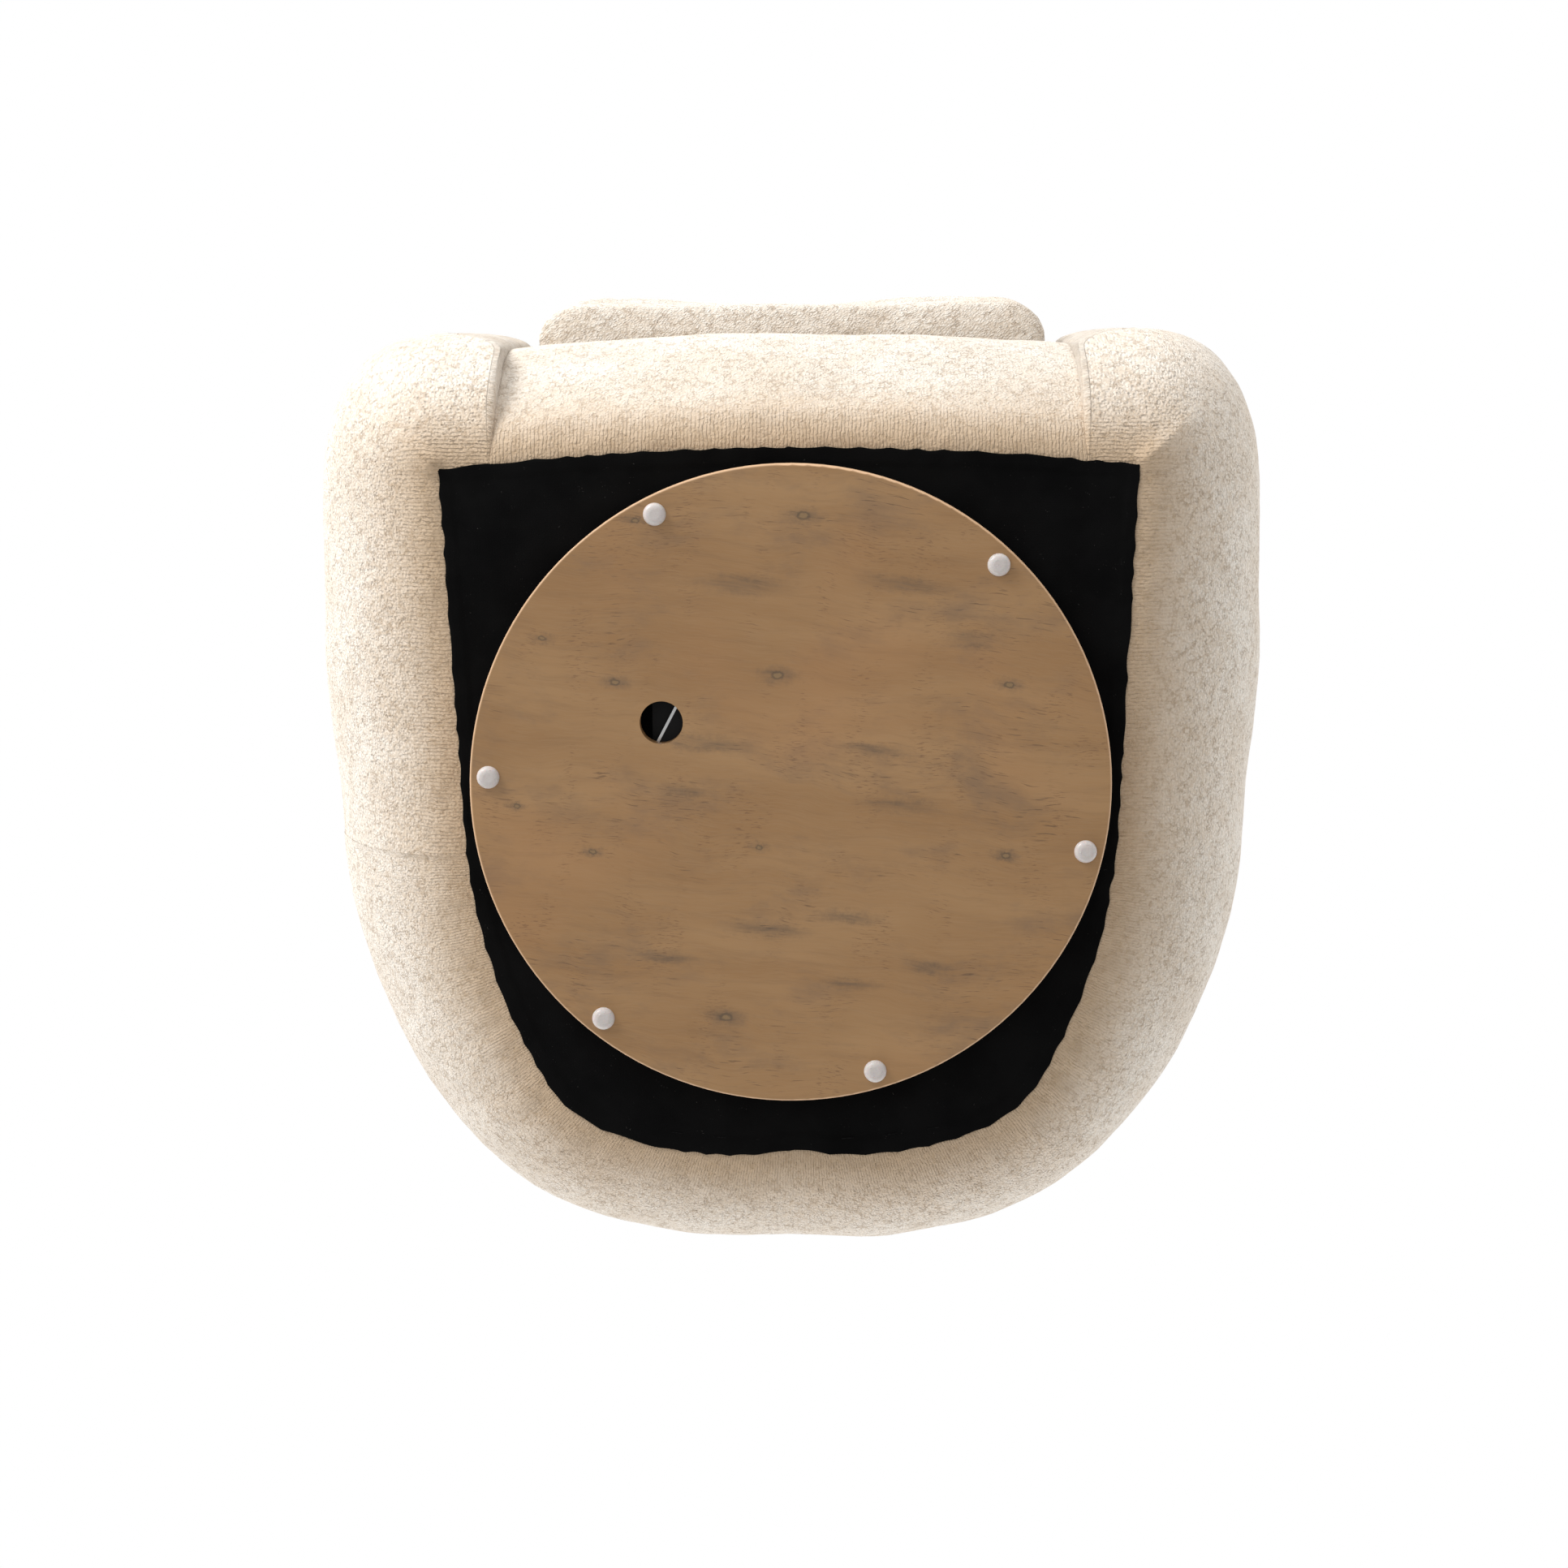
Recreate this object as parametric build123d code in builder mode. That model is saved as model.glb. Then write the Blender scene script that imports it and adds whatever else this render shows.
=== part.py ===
"""Upholstered swivel tub chair: board base, ball swivel, timber frame, springs, foam and fabric."""
import os
from math import cos, radians, sin

from build123d import *

os.makedirs("parts", exist_ok=True)

# Driving dimensions, mm. Origin on the floor under the swivel axis, +Z up, the seat faces -Y.
BOARD_R = 260.0
BOARD_T = 18.0
BOARD_EDGE_R = 2.0
ACCESS_HOLE_AT = (-104.0, -52.0)
ACCESS_HOLE_R = 17.5

GLIDE_R = 9.25
GLIDE_FLAT_R = 4.0
GLIDE_H = 5.0
GLIDE_PITCH_R = 245.0
GLIDE_ANGLES = (13.0, 74.0, 129.0, 182.0, 244.0, 313.5)
NAIL_R = 1.1
NAIL_HEAD_R = 3.5
NAIL_HEAD_T = 1.2
NAIL_HEAD_Z = 2.2
NAIL_TIP_Z = 19.0

PLATE_SIDE = 225.0
PLATE_T = 2.5
PLATE_CORNER_R = 12.0
PLATE_BORE_R = 62.0
PLATE_SCREW_XY = 83.0
LOWER_PLATE_TURN = 28.0
PLATE_GAP = 7.5
RACE_R = 82.0
RACE_RIDGE_W = 16.0
RACE_RIDGE_H = 2.2
BALL_R = 3.175
BALL_CLEARANCE = 0.075
BALL_COUNT = 24
CAGE_T = 1.2
CAGE_W = 10.0
SCREW_R = 2.2
SCREW_HEAD_R = 4.4
SCREW_HEAD_T = 2.2
LOWER_SCREW_LENGTH = 14.0
UPPER_SCREW_LENGTH = 32.0

CLOTH_T = 0.5
HEM_T = 2.4
COVER_T = 4.0
FOAM_GAP = 0.3
FOAM_T = 41.0

RAIL_T = 22.0
RAIL_SETBACK = 4.0
BOTTOM_RAIL_H = 70.0
SWIVEL_RAIL_W = 60.0
SWIVEL_RAIL_H = 40.0
BLOCK_SIDE = 70.0
BLOCK_H = 50.0
PLY_T = 18.0
SEAT_RAIL_H = 60.0
SEAT_RAIL_T = 18.0
SEAT_FRAME_Z = 312.0
SEAT_FRAME_HALF_W = 240.5
SEAT_FRAME_FRONT_Y = -257.5
SEAT_FRAME_BACK_Y = 168.0
POST_W = 40.0
FRONT_RAIL_Y = -231.0
ARM_RIB_Y = (-282.0, -111.0, 50.0)
BACK_RIB_ANGLES = (52.0, 90.0, 128.0)
BACK_RIB_FOOT = (150.0, 110.0, 150.0)
ARM_RIB_FOOT = (252.0, 243.0, 243.0)
RIB_INSET = 50.0
RIB_LOWER_INSET = 66.0
TOP_RAIL_W = 36.0
TOP_RAIL_T = 18.0
TOP_RAIL_DEPTH = 63.0
BACK_TOP_RAIL_Z = 602.0
BACK_TOP_RAIL_ANGLES = (48.0, 60.0, 75.0, 90.0, 105.0, 120.0, 132.0)

SPRING_WIRE_R = 1.8
SPRING_COUNT = 5
SPRING_PITCH_X = 82.0
SPRING_HALF_BAR = 12.0
SPRING_BENDS = 18
SPRING_FRONT_Y = -254.0
SPRING_BACK_Y = 159.0
CLIP_W = 20.0
CLIP_L = 12.0
CLIP_H = 6.4
CLIP_CLEARANCE = 0.05
DECK_T = 1.2

PANEL_HALF_W = 239.5
PANEL_FRONT_Y = -366.0
PANEL_BULGE_Z = 235.0
PANEL_TOP_Z = 320.0
PANEL_ROLL_Y = -330.0
PANEL_HEM_Y = -245.0

CUSHION_HALF_W = 237.5
CUSHION_FRONT_Y = -398.0
CUSHION_BACK_Y = 172.0
CUSHION_H = 132.0
CUSHION_FRONT_R = 42.0
CUSHION_BACK_R = 110.0
CUSHION_EDGE_R = 32.0
ZIP_L = 240.0
ZIP_W = 8.0

STAPLE_CROWN = 10.0
STAPLE_WIRE = 0.6
STAPLE_LEG = 7.0
STAPLE_COUNT = 56
STAPLE_INSET = 9.0

# Heights that follow from the stack of parts.
BOARD_Z = GLIDE_H
LOWER_PLATE_Z = BOARD_Z + BOARD_T
BALL_Z = LOWER_PLATE_Z + PLATE_T + PLATE_GAP / 2
UPPER_PLATE_Z = LOWER_PLATE_Z + PLATE_T + PLATE_GAP
CLOTH_Z = UPPER_PLATE_Z + PLATE_T
HEM_Z = CLOTH_Z + CLOTH_T
RAIL_Z = HEM_Z + HEM_T + 0.1
RAIL_TOP_Z = RAIL_Z + BOTTOM_RAIL_H
SPRING_Z = SEAT_FRAME_Z + CLIP_H / 2
DECK_Z = SEAT_FRAME_Z + CLIP_H + 0.6
CUSHION_Z = DECK_Z + 3.0

# The bottom outline of the chair: a D with a bowed front and a rounded back, right half.
FRONT_CORNER = (285.0, -257.0)
FRONT_MID = (0.0, -273.0)
SIDE_END = (269.0, 40.0)
SHOULDER = (205.0, 250.0)
BACK_CORNER = (158.0, 291.0)
BACK_MID = (0.0, 308.6)

# The tub wall is lofted through upright sections. An arm section stands across the X axis at a
# given Y; a back section fans round FAN_Y. Radii are measured outward along the section.
FAN_Y = 60.0
ROOM_FRONT_Y = -300.0
CAVITY_INSET = COVER_T + FOAM_T
ROOM_INSET = CAVITY_INSET + 13.0
SEAT_LINE_Z = 440.0
ROUND = 0.5523
TOP_TAPER = 8.0
ROLL_H = 75.0
ARM_SECTIONS = (
    # y, inner, inner at top, outer, bottom edge, bottom z, bulge z, top z
    (-370.0, 276.0, 279.0, 346.0, 300.0, 150.0, 235.0, 522.0),
    (-350.0, 254.0, 257.0, 379.0, 293.0, 92.0, 200.0, 558.0),
    (-315.0, 244.0, 247.0, 396.0, 288.0, 56.0, 182.0, 582.0),
    (-257.0, 241.0, 244.0, 406.0, 285.0, HEM_Z, 170.0, 594.0),
    (-120.0, 241.0, 244.0, 408.0, 276.0, HEM_Z, 170.0, 604.0),
    (FAN_Y, 241.0, 247.0, 394.0, 268.0, HEM_Z, 165.0, 628.0),
)
BACK_SECTIONS = (
    # angle, inner, inner at top, outer, bottom edge, top z
    (0.0, 241.0, 247.0, 394.0, 268.0, 628.0),
    (15.0, 240.0, 247.0, 390.0, 265.0, 644.0),
    (30.0, 216.0, 238.0, 388.0, 270.0, 664.0),
    (45.0, 168.0, 216.0, 387.0, 282.0, 684.0),
    (60.0, 138.0, 201.0, 379.0, 273.0, 702.0),
    (75.0, 124.5, 192.0, 359.0, 255.0, 715.0),
    (90.0, 120.0, 190.0, 347.0, 248.6, 720.0),
)
BACK_BULGE_Z = 160.0


def outline_face(inset):
    """The bottom outline as a face, moved inward by inset."""
    with BuildSketch() as sketch:
        with BuildLine():
            front = ThreePointArc((-FRONT_CORNER[0], FRONT_CORNER[1]), FRONT_MID, FRONT_CORNER)
            side = Line(front @ 1, SIDE_END)
            flank = TangentArc(SIDE_END, SHOULDER, tangent=side % 1)
            corner = TangentArc(SHOULDER, BACK_CORNER, tangent=flank % 1)
            ThreePointArc(corner @ 1, BACK_MID, (-BACK_CORNER[0], BACK_CORNER[1]))
            mirror(corner, about=Plane.YZ)
            mirror(flank, about=Plane.YZ)
            mirror(side, about=Plane.YZ)
        make_face()
        if inset:
            offset(amount=-inset, kind=Kind.INTERSECTION)
    return sketch.sketch


def prism(face, z_low, z_high):
    """A face extruded from one height to another."""
    with BuildPart() as block:
        with BuildSketch(Plane.XY.offset(z_low)):
            add(face)
        extrude(amount=z_high - z_low)
    return block.part


def section_plane(y, angle):
    """The upright plane through (0, y), with its first axis pointing outward."""
    turn = radians(angle)
    return Plane(origin=(0, y, 0), x_dir=(cos(turn), sin(turn), 0), z_dir=(sin(turn), -cos(turn), 0))


def quarter(start, corner, end):
    """A quarter-ellipse-like bend from start to end whose tangents meet at corner."""
    first = tuple(s + (c - s) * ROUND for s, c in zip(start, corner))
    second = tuple(e + (c - e) * ROUND for e, c in zip(end, corner))
    return Bezier(start, first, second, end)


def section_face(section, inset, z_from=None):
    """One wall section as a flat face in its own plane, with its walls moved inward by inset.

    It runs along the bottom, round the bulge, up the outside, over the roll and down the inside.
    With z_from the bulge is left out and the section starts at that height.
    """
    inner, inner_top, outer, bottom, z_bottom, z_bulge, z_top = section
    inner, inner_top, outer = inner + inset, inner_top + inset, outer - inset
    outer_top = outer - TOP_TAPER
    middle = (inner_top + outer_top) / 2
    z_roll = z_top - ROLL_H
    z_top = z_top - inset
    z_foot = z_bottom + min(inset, HEM_T) if z_from is None else z_from
    with BuildSketch() as sketch:
        with BuildLine():
            if z_from is None:
                Line((inner, z_foot), (bottom, z_foot))
                quarter((bottom, z_foot), (outer, z_foot), (outer, z_bulge))
                Line((outer, z_bulge), (outer_top, z_roll))
            else:
                Line((inner, z_foot), (outer, z_foot))
                Line((outer, z_foot), (outer_top, z_roll))
            quarter((outer_top, z_roll), (outer_top, z_top), (middle, z_top))
            quarter((middle, z_top), (inner_top, z_top), (inner_top, z_roll))
            Line((inner_top, z_roll), (inner, SEAT_LINE_Z))
            Line((inner, SEAT_LINE_Z), (inner, z_foot))
        make_face()
    return sketch.sketch


def between(rows, place):
    """The row at any place along a table, worked out between the two nearest given ones."""
    for near, far in zip(rows, rows[1:]):
        if near[0] <= place <= far[0]:
            share = (place - near[0]) / (far[0] - near[0])
            return tuple(a + (b - a) * share for a, b in zip(near, far))
    raise ValueError("no section there")


def arm_section(y):
    """The left arm's section at any Y."""
    return between(ARM_SECTIONS, y)[1:]


def back_section(angle):
    """The back's section at any angle, in the same form as an arm's."""
    row = between(BACK_SECTIONS, min(angle, 180 - angle))
    return row[1:5] + (HEM_Z, BACK_BULGE_Z, row[5])


def arm_block(inset, y_from=None, z_from=None):
    """The left arm as one solid, moved inward by inset."""
    stations = [row[0] for row in ARM_SECTIONS]
    if y_from is None:
        stations[0] += inset
    else:
        stations = [y_from] + [y for y in stations if y > y_from]
    with BuildPart() as block:
        for y in stations:
            with BuildSketch(section_plane(y, 0)):
                add(section_face(arm_section(y), inset, z_from))
        loft(ruled=True)
    return block.part


def back_block(inset, z_from=None):
    """The back as one solid from arm to arm, moved inward by inset."""
    half = [row[0] for row in BACK_SECTIONS]
    other = [180 - angle for angle in reversed(half[:-1])]
    with BuildPart() as block:
        for angle in half + other:
            with BuildSketch(section_plane(FAN_Y, angle)):
                add(section_face(back_section(angle), inset, z_from))
        loft(ruled=True)
    return block.part


def fan_point(radius, angle):
    """A plan point of the back, at a radius and an angle about the fan's centre."""
    return (radius * cos(radians(angle)), FAN_Y + radius * sin(radians(angle)))


def rib_room():
    """Plan of the hollow inside the foam below the seat, where the ribs stand."""
    arms = [(arm_section(y)[2] - ROOM_INSET, y) for y in (ROOM_FRONT_Y, -257.0, -120.0)]
    fan = [fan_point(row[3] - ROOM_INSET, row[0]) for row in BACK_SECTIONS]
    left = arms + fan
    right = [(-x, y) for x, y in reversed(left[:-1])]
    with BuildSketch() as sketch:
        with BuildLine():
            Polyline(*left, *right, close=True)
        make_face()
    return sketch.sketch


def ring_piece(z_low, z_high, x_limits, y_limits):
    """A length of the bent rail that follows the bottom outline, cut by straight lines."""
    x_low, x_high = x_limits
    y_low, y_high = y_limits
    with BuildPart() as piece:
        with BuildSketch(Plane.XY.offset(z_low)):
            add(outline_face(RAIL_SETBACK))
            add(outline_face(RAIL_SETBACK + RAIL_T), mode=Mode.SUBTRACT)
            with Locations(((x_low + x_high) / 2, (y_low + y_high) / 2)):
                Rectangle(x_high - x_low, y_high - y_low, mode=Mode.INTERSECT)
        extrude(amount=z_high - z_low)
    return piece.part


def plate_sketch():
    """The outline of a swivel plate with its bore and four screw holes."""
    with BuildSketch() as sketch:
        RectangleRounded(PLATE_SIDE, PLATE_SIDE, PLATE_CORNER_R)
        Circle(PLATE_BORE_R, mode=Mode.SUBTRACT)
        with GridLocations(2 * PLATE_SCREW_XY, 2 * PLATE_SCREW_XY, 2, 2):
            Circle(SCREW_R + 0.4, mode=Mode.SUBTRACT)
    return sketch.sketch


def race_sketch():
    """The ring of a swivel plate's pressed ball race."""
    with BuildSketch() as sketch:
        Circle(RACE_R + RACE_RIDGE_W / 2)
        Circle(RACE_R - RACE_RIDGE_W / 2, mode=Mode.SUBTRACT)
    return sketch.sketch


# Rooms kept clear of foam and fabric for the frame.
LOW_ROOM = prism(outline_face(RAIL_SETBACK - FOAM_GAP), RAIL_Z - 0.1, RAIL_TOP_Z + 0.5)
MID_ROOM = prism(rib_room(), RAIL_TOP_Z, SEAT_FRAME_Z)
HEM_WINDOW = prism(outline_face(RAIL_SETBACK + RAIL_T), HEM_Z - 1.0, SEAT_FRAME_Z)
WALL_WINDOW = prism(outline_face(15.0), HEM_Z + HEM_T, SEAT_FRAME_Z)

# ---- Base: the round board, its glides and the lower half of the ball swivel.
with BuildPart() as base_board:
    with BuildSketch(Plane.XY.offset(BOARD_Z)):
        Circle(BOARD_R)
        with Locations(ACCESS_HOLE_AT):
            Circle(ACCESS_HOLE_R, mode=Mode.SUBTRACT)
    extrude(amount=BOARD_T)
    rim = base_board.edges().filter_by(GeomType.CIRCLE).filter_by(lambda e: e.radius > ACCESS_HOLE_R + 1)
    fillet(rim, radius=BOARD_EDGE_R)
base_board.part.label = "base_board"
export_step(base_board.part, "parts/base_board.step")

glide_spots = [
    (GLIDE_PITCH_R * cos(radians(angle)), GLIDE_PITCH_R * sin(radians(angle))) for angle in GLIDE_ANGLES
]
with BuildPart() as one_nail:
    with BuildSketch(Plane.XY.offset(NAIL_HEAD_Z)):
        Circle(NAIL_HEAD_R)
    extrude(amount=NAIL_HEAD_T)
    with BuildSketch(Plane.XY.offset(NAIL_HEAD_Z)):
        Circle(NAIL_R)
    extrude(amount=NAIL_TIP_Z - NAIL_HEAD_Z)
with BuildPart() as glide_nails:
    with Locations(*glide_spots):
        add(one_nail.part)
glide_nails.part.label = "glide_nails"
export_step(glide_nails.part, "parts/glide_nails.step")

with BuildPart() as one_cap:
    with BuildSketch(Plane.XZ):
        with BuildLine():
            Line((0, 0), (GLIDE_FLAT_R, 0))
            quarter((GLIDE_FLAT_R, 0), (GLIDE_R, 0), (GLIDE_R, GLIDE_H))
            Line((GLIDE_R, GLIDE_H), (0, GLIDE_H))
            Line((0, GLIDE_H), (0, 0))
        make_face()
    revolve(axis=Axis.Z)
    add(one_nail.part, mode=Mode.SUBTRACT)
with BuildPart() as glide_caps:
    with Locations(*glide_spots):
        add(one_cap.part)
glide_caps.part.label = "glide_caps"
export_step(glide_caps.part, "parts/glide_caps.step")

lower_plane = Plane.XY.rotated((0, 0, LOWER_PLATE_TURN))
with BuildPart() as lower_swivel_plate:
    with BuildSketch(lower_plane.offset(LOWER_PLATE_Z)):
        add(plate_sketch())
    extrude(amount=PLATE_T)
    with BuildSketch(lower_plane.offset(LOWER_PLATE_Z + PLATE_T)):
        add(race_sketch())
    extrude(amount=RACE_RIDGE_H)
    with Locations((0, 0, BALL_Z)):
        Torus(RACE_R, BALL_R + BALL_CLEARANCE, mode=Mode.SUBTRACT)
lower_swivel_plate.part.label = "lower_swivel_plate"
export_step(lower_swivel_plate.part, "parts/lower_swivel_plate.step")

with BuildPart() as lower_plate_screws:
    with BuildSketch(lower_plane.offset(LOWER_PLATE_Z + PLATE_T)):
        with GridLocations(2 * PLATE_SCREW_XY, 2 * PLATE_SCREW_XY, 2, 2):
            Circle(SCREW_HEAD_R)
    extrude(amount=SCREW_HEAD_T, taper=15)
    with BuildSketch(lower_plane.offset(LOWER_PLATE_Z + PLATE_T)):
        with GridLocations(2 * PLATE_SCREW_XY, 2 * PLATE_SCREW_XY, 2, 2):
            Circle(SCREW_R)
    extrude(amount=-LOWER_SCREW_LENGTH)
lower_plate_screws.part.label = "lower_plate_screws"
export_step(lower_plate_screws.part, "parts/lower_plate_screws.step")

# ---- Ball ring: the cage and its balls roll between the two plates.
with BuildPart() as ball_cage:
    with BuildSketch(Plane.XY.offset(BALL_Z - CAGE_T / 2)):
        Circle(RACE_R + CAGE_W / 2)
        Circle(RACE_R - CAGE_W / 2, mode=Mode.SUBTRACT)
        with PolarLocations(RACE_R, BALL_COUNT):
            Circle(BALL_R + 2 * BALL_CLEARANCE, mode=Mode.SUBTRACT)
    extrude(amount=CAGE_T)
ball_cage.part.label = "ball_cage"
export_step(ball_cage.part, "parts/ball_cage.step")

with BuildPart() as bearing_balls:
    with Locations(Plane.XY.offset(BALL_Z)):
        with PolarLocations(RACE_R, BALL_COUNT):
            Sphere(BALL_R)
bearing_balls.part.label = "bearing_balls"
export_step(bearing_balls.part, "parts/bearing_balls.step")

# ---- Chair: the upper swivel plate, screwed up through the dust cover into two rails.
with BuildPart() as upper_swivel_plate:
    with BuildSketch(Plane.XY.offset(UPPER_PLATE_Z)):
        add(plate_sketch())
    extrude(amount=PLATE_T)
    with BuildSketch(Plane.XY.offset(UPPER_PLATE_Z)):
        add(race_sketch())
    extrude(amount=-RACE_RIDGE_H)
    with Locations((0, 0, BALL_Z)):
        Torus(RACE_R, BALL_R + BALL_CLEARANCE, mode=Mode.SUBTRACT)
upper_swivel_plate.part.label = "upper_swivel_plate"
export_step(upper_swivel_plate.part, "parts/upper_swivel_plate.step")

with BuildPart() as upper_plate_screws:
    with BuildSketch(Plane.XY.offset(UPPER_PLATE_Z)):
        with GridLocations(2 * PLATE_SCREW_XY, 2 * PLATE_SCREW_XY, 2, 2):
            Circle(SCREW_HEAD_R)
    extrude(amount=-SCREW_HEAD_T, taper=15)
    with BuildSketch(Plane.XY.offset(UPPER_PLATE_Z)):
        with GridLocations(2 * PLATE_SCREW_XY, 2 * PLATE_SCREW_XY, 2, 2):
            Circle(SCREW_R)
    extrude(amount=UPPER_SCREW_LENGTH)
upper_plate_screws.part.label = "upper_plate_screws"
export_step(upper_plate_screws.part, "parts/upper_plate_screws.step")

with BuildPart() as dust_cover:
    with BuildSketch(Plane.XY.offset(CLOTH_Z)):
        add(outline_face(2.0))
        with GridLocations(2 * PLATE_SCREW_XY, 2 * PLATE_SCREW_XY, 2, 2):
            Circle(SCREW_R + 0.4, mode=Mode.SUBTRACT)
    extrude(amount=CLOTH_T)
dust_cover.part.label = "dust_cover"
export_step(dust_cover.part, "parts/dust_cover.step")

staple_line = outline_face(STAPLE_INSET).faces()[0].outer_wire()
staple_planes = []
for index in range(STAPLE_COUNT):
    share = (index + 0.5) / STAPLE_COUNT
    spot = staple_line.position_at(share)
    along = staple_line.tangent_at(share)
    staple_planes.append(Plane(origin=(spot.X, spot.Y, CLOTH_Z), x_dir=along, z_dir=(0, 0, 1)))
with BuildPart() as one_staple:
    Box(STAPLE_CROWN, STAPLE_WIRE, STAPLE_WIRE, align=(Align.CENTER, Align.CENTER, Align.MAX))
    with GridLocations(STAPLE_CROWN - STAPLE_WIRE, 0, 2, 1):
        Box(STAPLE_WIRE, STAPLE_WIRE, STAPLE_LEG, align=(Align.CENTER, Align.CENTER, Align.MIN))
with BuildPart() as dust_cover_staples:
    with Locations(*staple_planes):
        add(one_staple.part)
dust_cover_staples.part.label = "dust_cover_staples"
export_step(dust_cover_staples.part, "parts/dust_cover_staples.step")

# ---- Bottom frame: bent rails round the outline, two swivel rails and corner blocks.
WIDE = 500.0
bottom_rails = {
    "bottom_front_rail": ((-WIDE, WIDE), (-WIDE, FRONT_RAIL_Y)),
    "bottom_rail_left": ((0.0, WIDE), (FRONT_RAIL_Y, FAN_Y)),
    "bottom_rail_right": ((-WIDE, 0.0), (FRONT_RAIL_Y, FAN_Y)),
    "bottom_back_rail": ((-WIDE, WIDE), (FAN_Y, WIDE)),
}
for rail_name, (x_limits, y_limits) in bottom_rails.items():
    with BuildPart() as bottom_rail:
        add(ring_piece(RAIL_Z, RAIL_TOP_Z, x_limits, y_limits))
    bottom_rail.part.label = rail_name
    export_step(bottom_rail.part, f"parts/{rail_name}.step")

frame_inside = outline_face(RAIL_SETBACK + RAIL_T + 0.2)
for side_name, side in (("left", 1), ("right", -1)):
    with BuildPart() as swivel_rail:
        with BuildSketch(Plane.XY.offset(HEM_Z)):
            with Locations((side * PLATE_SCREW_XY, 0)):
                Rectangle(SWIVEL_RAIL_W, 2 * WIDE)
            add(frame_inside, mode=Mode.INTERSECT)
        extrude(amount=SWIVEL_RAIL_H)
    swivel_rail.part.label = f"swivel_rail_{side_name}"
    export_step(swivel_rail.part, f"parts/swivel_rail_{side_name}.step")

with BuildPart() as corner_blocks:
    with BuildSketch(Plane.XY.offset(RAIL_Z)):
        for side in (1, -1):
            corner_x = side * FRONT_CORNER[0]
            inner_x = corner_x - side * (BLOCK_SIDE + RAIL_T)
            with BuildLine():
                Polyline(
                    (corner_x, FRONT_CORNER[1]),
                    (inner_x, FRONT_CORNER[1]),
                    (corner_x, FRONT_CORNER[1] + BLOCK_SIDE + RAIL_T),
                    close=True,
                )
            make_face()
        add(frame_inside, mode=Mode.INTERSECT)
    extrude(amount=BLOCK_H)
corner_blocks.part.label = "corner_blocks"
export_step(corner_blocks.part, "parts/corner_blocks.step")

# ---- Seat frame: posts and rails, with the springs, their clips and the deck cloth on top.
seat_rail_z = SEAT_FRAME_Z - SEAT_RAIL_H
rail_inner_x = SEAT_FRAME_HALF_W - SEAT_RAIL_T
with BuildPart() as front_posts:
    for side in (1, -1):
        post_x = sorted((side * rail_inner_x, side * (rail_inner_x - POST_W)))
        add(ring_piece(RAIL_TOP_Z, seat_rail_z, post_x, (-WIDE, FRONT_RAIL_Y)))
front_posts.part.label = "front_posts"
export_step(front_posts.part, "parts/front_posts.step")

with BuildPart() as seat_front_rail:
    add(ring_piece(seat_rail_z, SEAT_FRAME_Z, (-rail_inner_x, rail_inner_x), (-WIDE, FRONT_RAIL_Y)))
seat_front_rail.part.label = "seat_front_rail"
export_step(seat_front_rail.part, "parts/seat_front_rail.step")

for side_name, side in (("left", 1), ("right", -1)):
    with BuildPart() as seat_rail:
        with BuildSketch(Plane.XY.offset(seat_rail_z)):
            with Locations((side * (rail_inner_x + SEAT_RAIL_T / 2), SEAT_FRAME_BACK_Y)):
                Rectangle(
                    SEAT_RAIL_T, SEAT_FRAME_BACK_Y - SEAT_FRAME_FRONT_Y, align=(Align.CENTER, Align.MAX)
                )
        extrude(amount=SEAT_RAIL_H)
    seat_rail.part.label = f"seat_rail_{side_name}"
    export_step(seat_rail.part, f"parts/seat_rail_{side_name}.step")

with BuildPart() as seat_back_rail:
    with BuildSketch(Plane.XY.offset(seat_rail_z)):
        with Locations((0, SEAT_FRAME_BACK_Y)):
            Rectangle(2 * rail_inner_x, SEAT_RAIL_T, align=(Align.CENTER, Align.MAX))
    extrude(amount=SEAT_RAIL_H)
seat_back_rail.part.label = "seat_back_rail"
export_step(seat_back_rail.part, "parts/seat_back_rail.step")

spring_z = SEAT_FRAME_Z + CLIP_H / 2
spring_step = (SPRING_BACK_Y - SPRING_FRONT_Y) / SPRING_BENDS
with BuildPart() as one_spring:
    with BuildLine(Plane.XY.offset(spring_z)) as spring_path:
        side = 1
        for index in range(SPRING_BENDS + 1):
            y = SPRING_FRONT_Y + index * spring_step
            Line((-side * SPRING_HALF_BAR, y), (side * SPRING_HALF_BAR, y))
            if index < SPRING_BENDS:
                ThreePointArc(
                    (side * SPRING_HALF_BAR, y),
                    (side * (SPRING_HALF_BAR + spring_step / 2), y + spring_step / 2),
                    (side * SPRING_HALF_BAR, y + spring_step),
                )
            side = -side
    wire_start = (-SPRING_HALF_BAR, SPRING_FRONT_Y, spring_z)
    with BuildSketch(Plane(origin=wire_start, z_dir=(1, 0, 0))):
        Circle(SPRING_WIRE_R)
    sweep(path=spring_path.wires()[0])
with BuildPart() as seat_springs:
    with GridLocations(SPRING_PITCH_X, 0, SPRING_COUNT, 1):
        add(one_spring.part)
seat_springs.part.label = "seat_springs"
export_step(seat_springs.part, "parts/seat_springs.step")

with BuildPart() as spring_clips:
    for clip_y in (SPRING_FRONT_Y, SPRING_BACK_Y):
        with Locations((0, clip_y, SEAT_FRAME_Z)):
            with GridLocations(SPRING_PITCH_X, 0, SPRING_COUNT, 1):
                Box(CLIP_W, CLIP_L, CLIP_H, align=(Align.CENTER, Align.CENTER, Align.MIN))
        with Locations((0, clip_y, spring_z)):
            Cylinder(SPRING_WIRE_R + CLIP_CLEARANCE, WIDE, rotation=(0, 90, 0), mode=Mode.SUBTRACT)
spring_clips.part.label = "spring_clips"
export_step(spring_clips.part, "parts/spring_clips.step")


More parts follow.
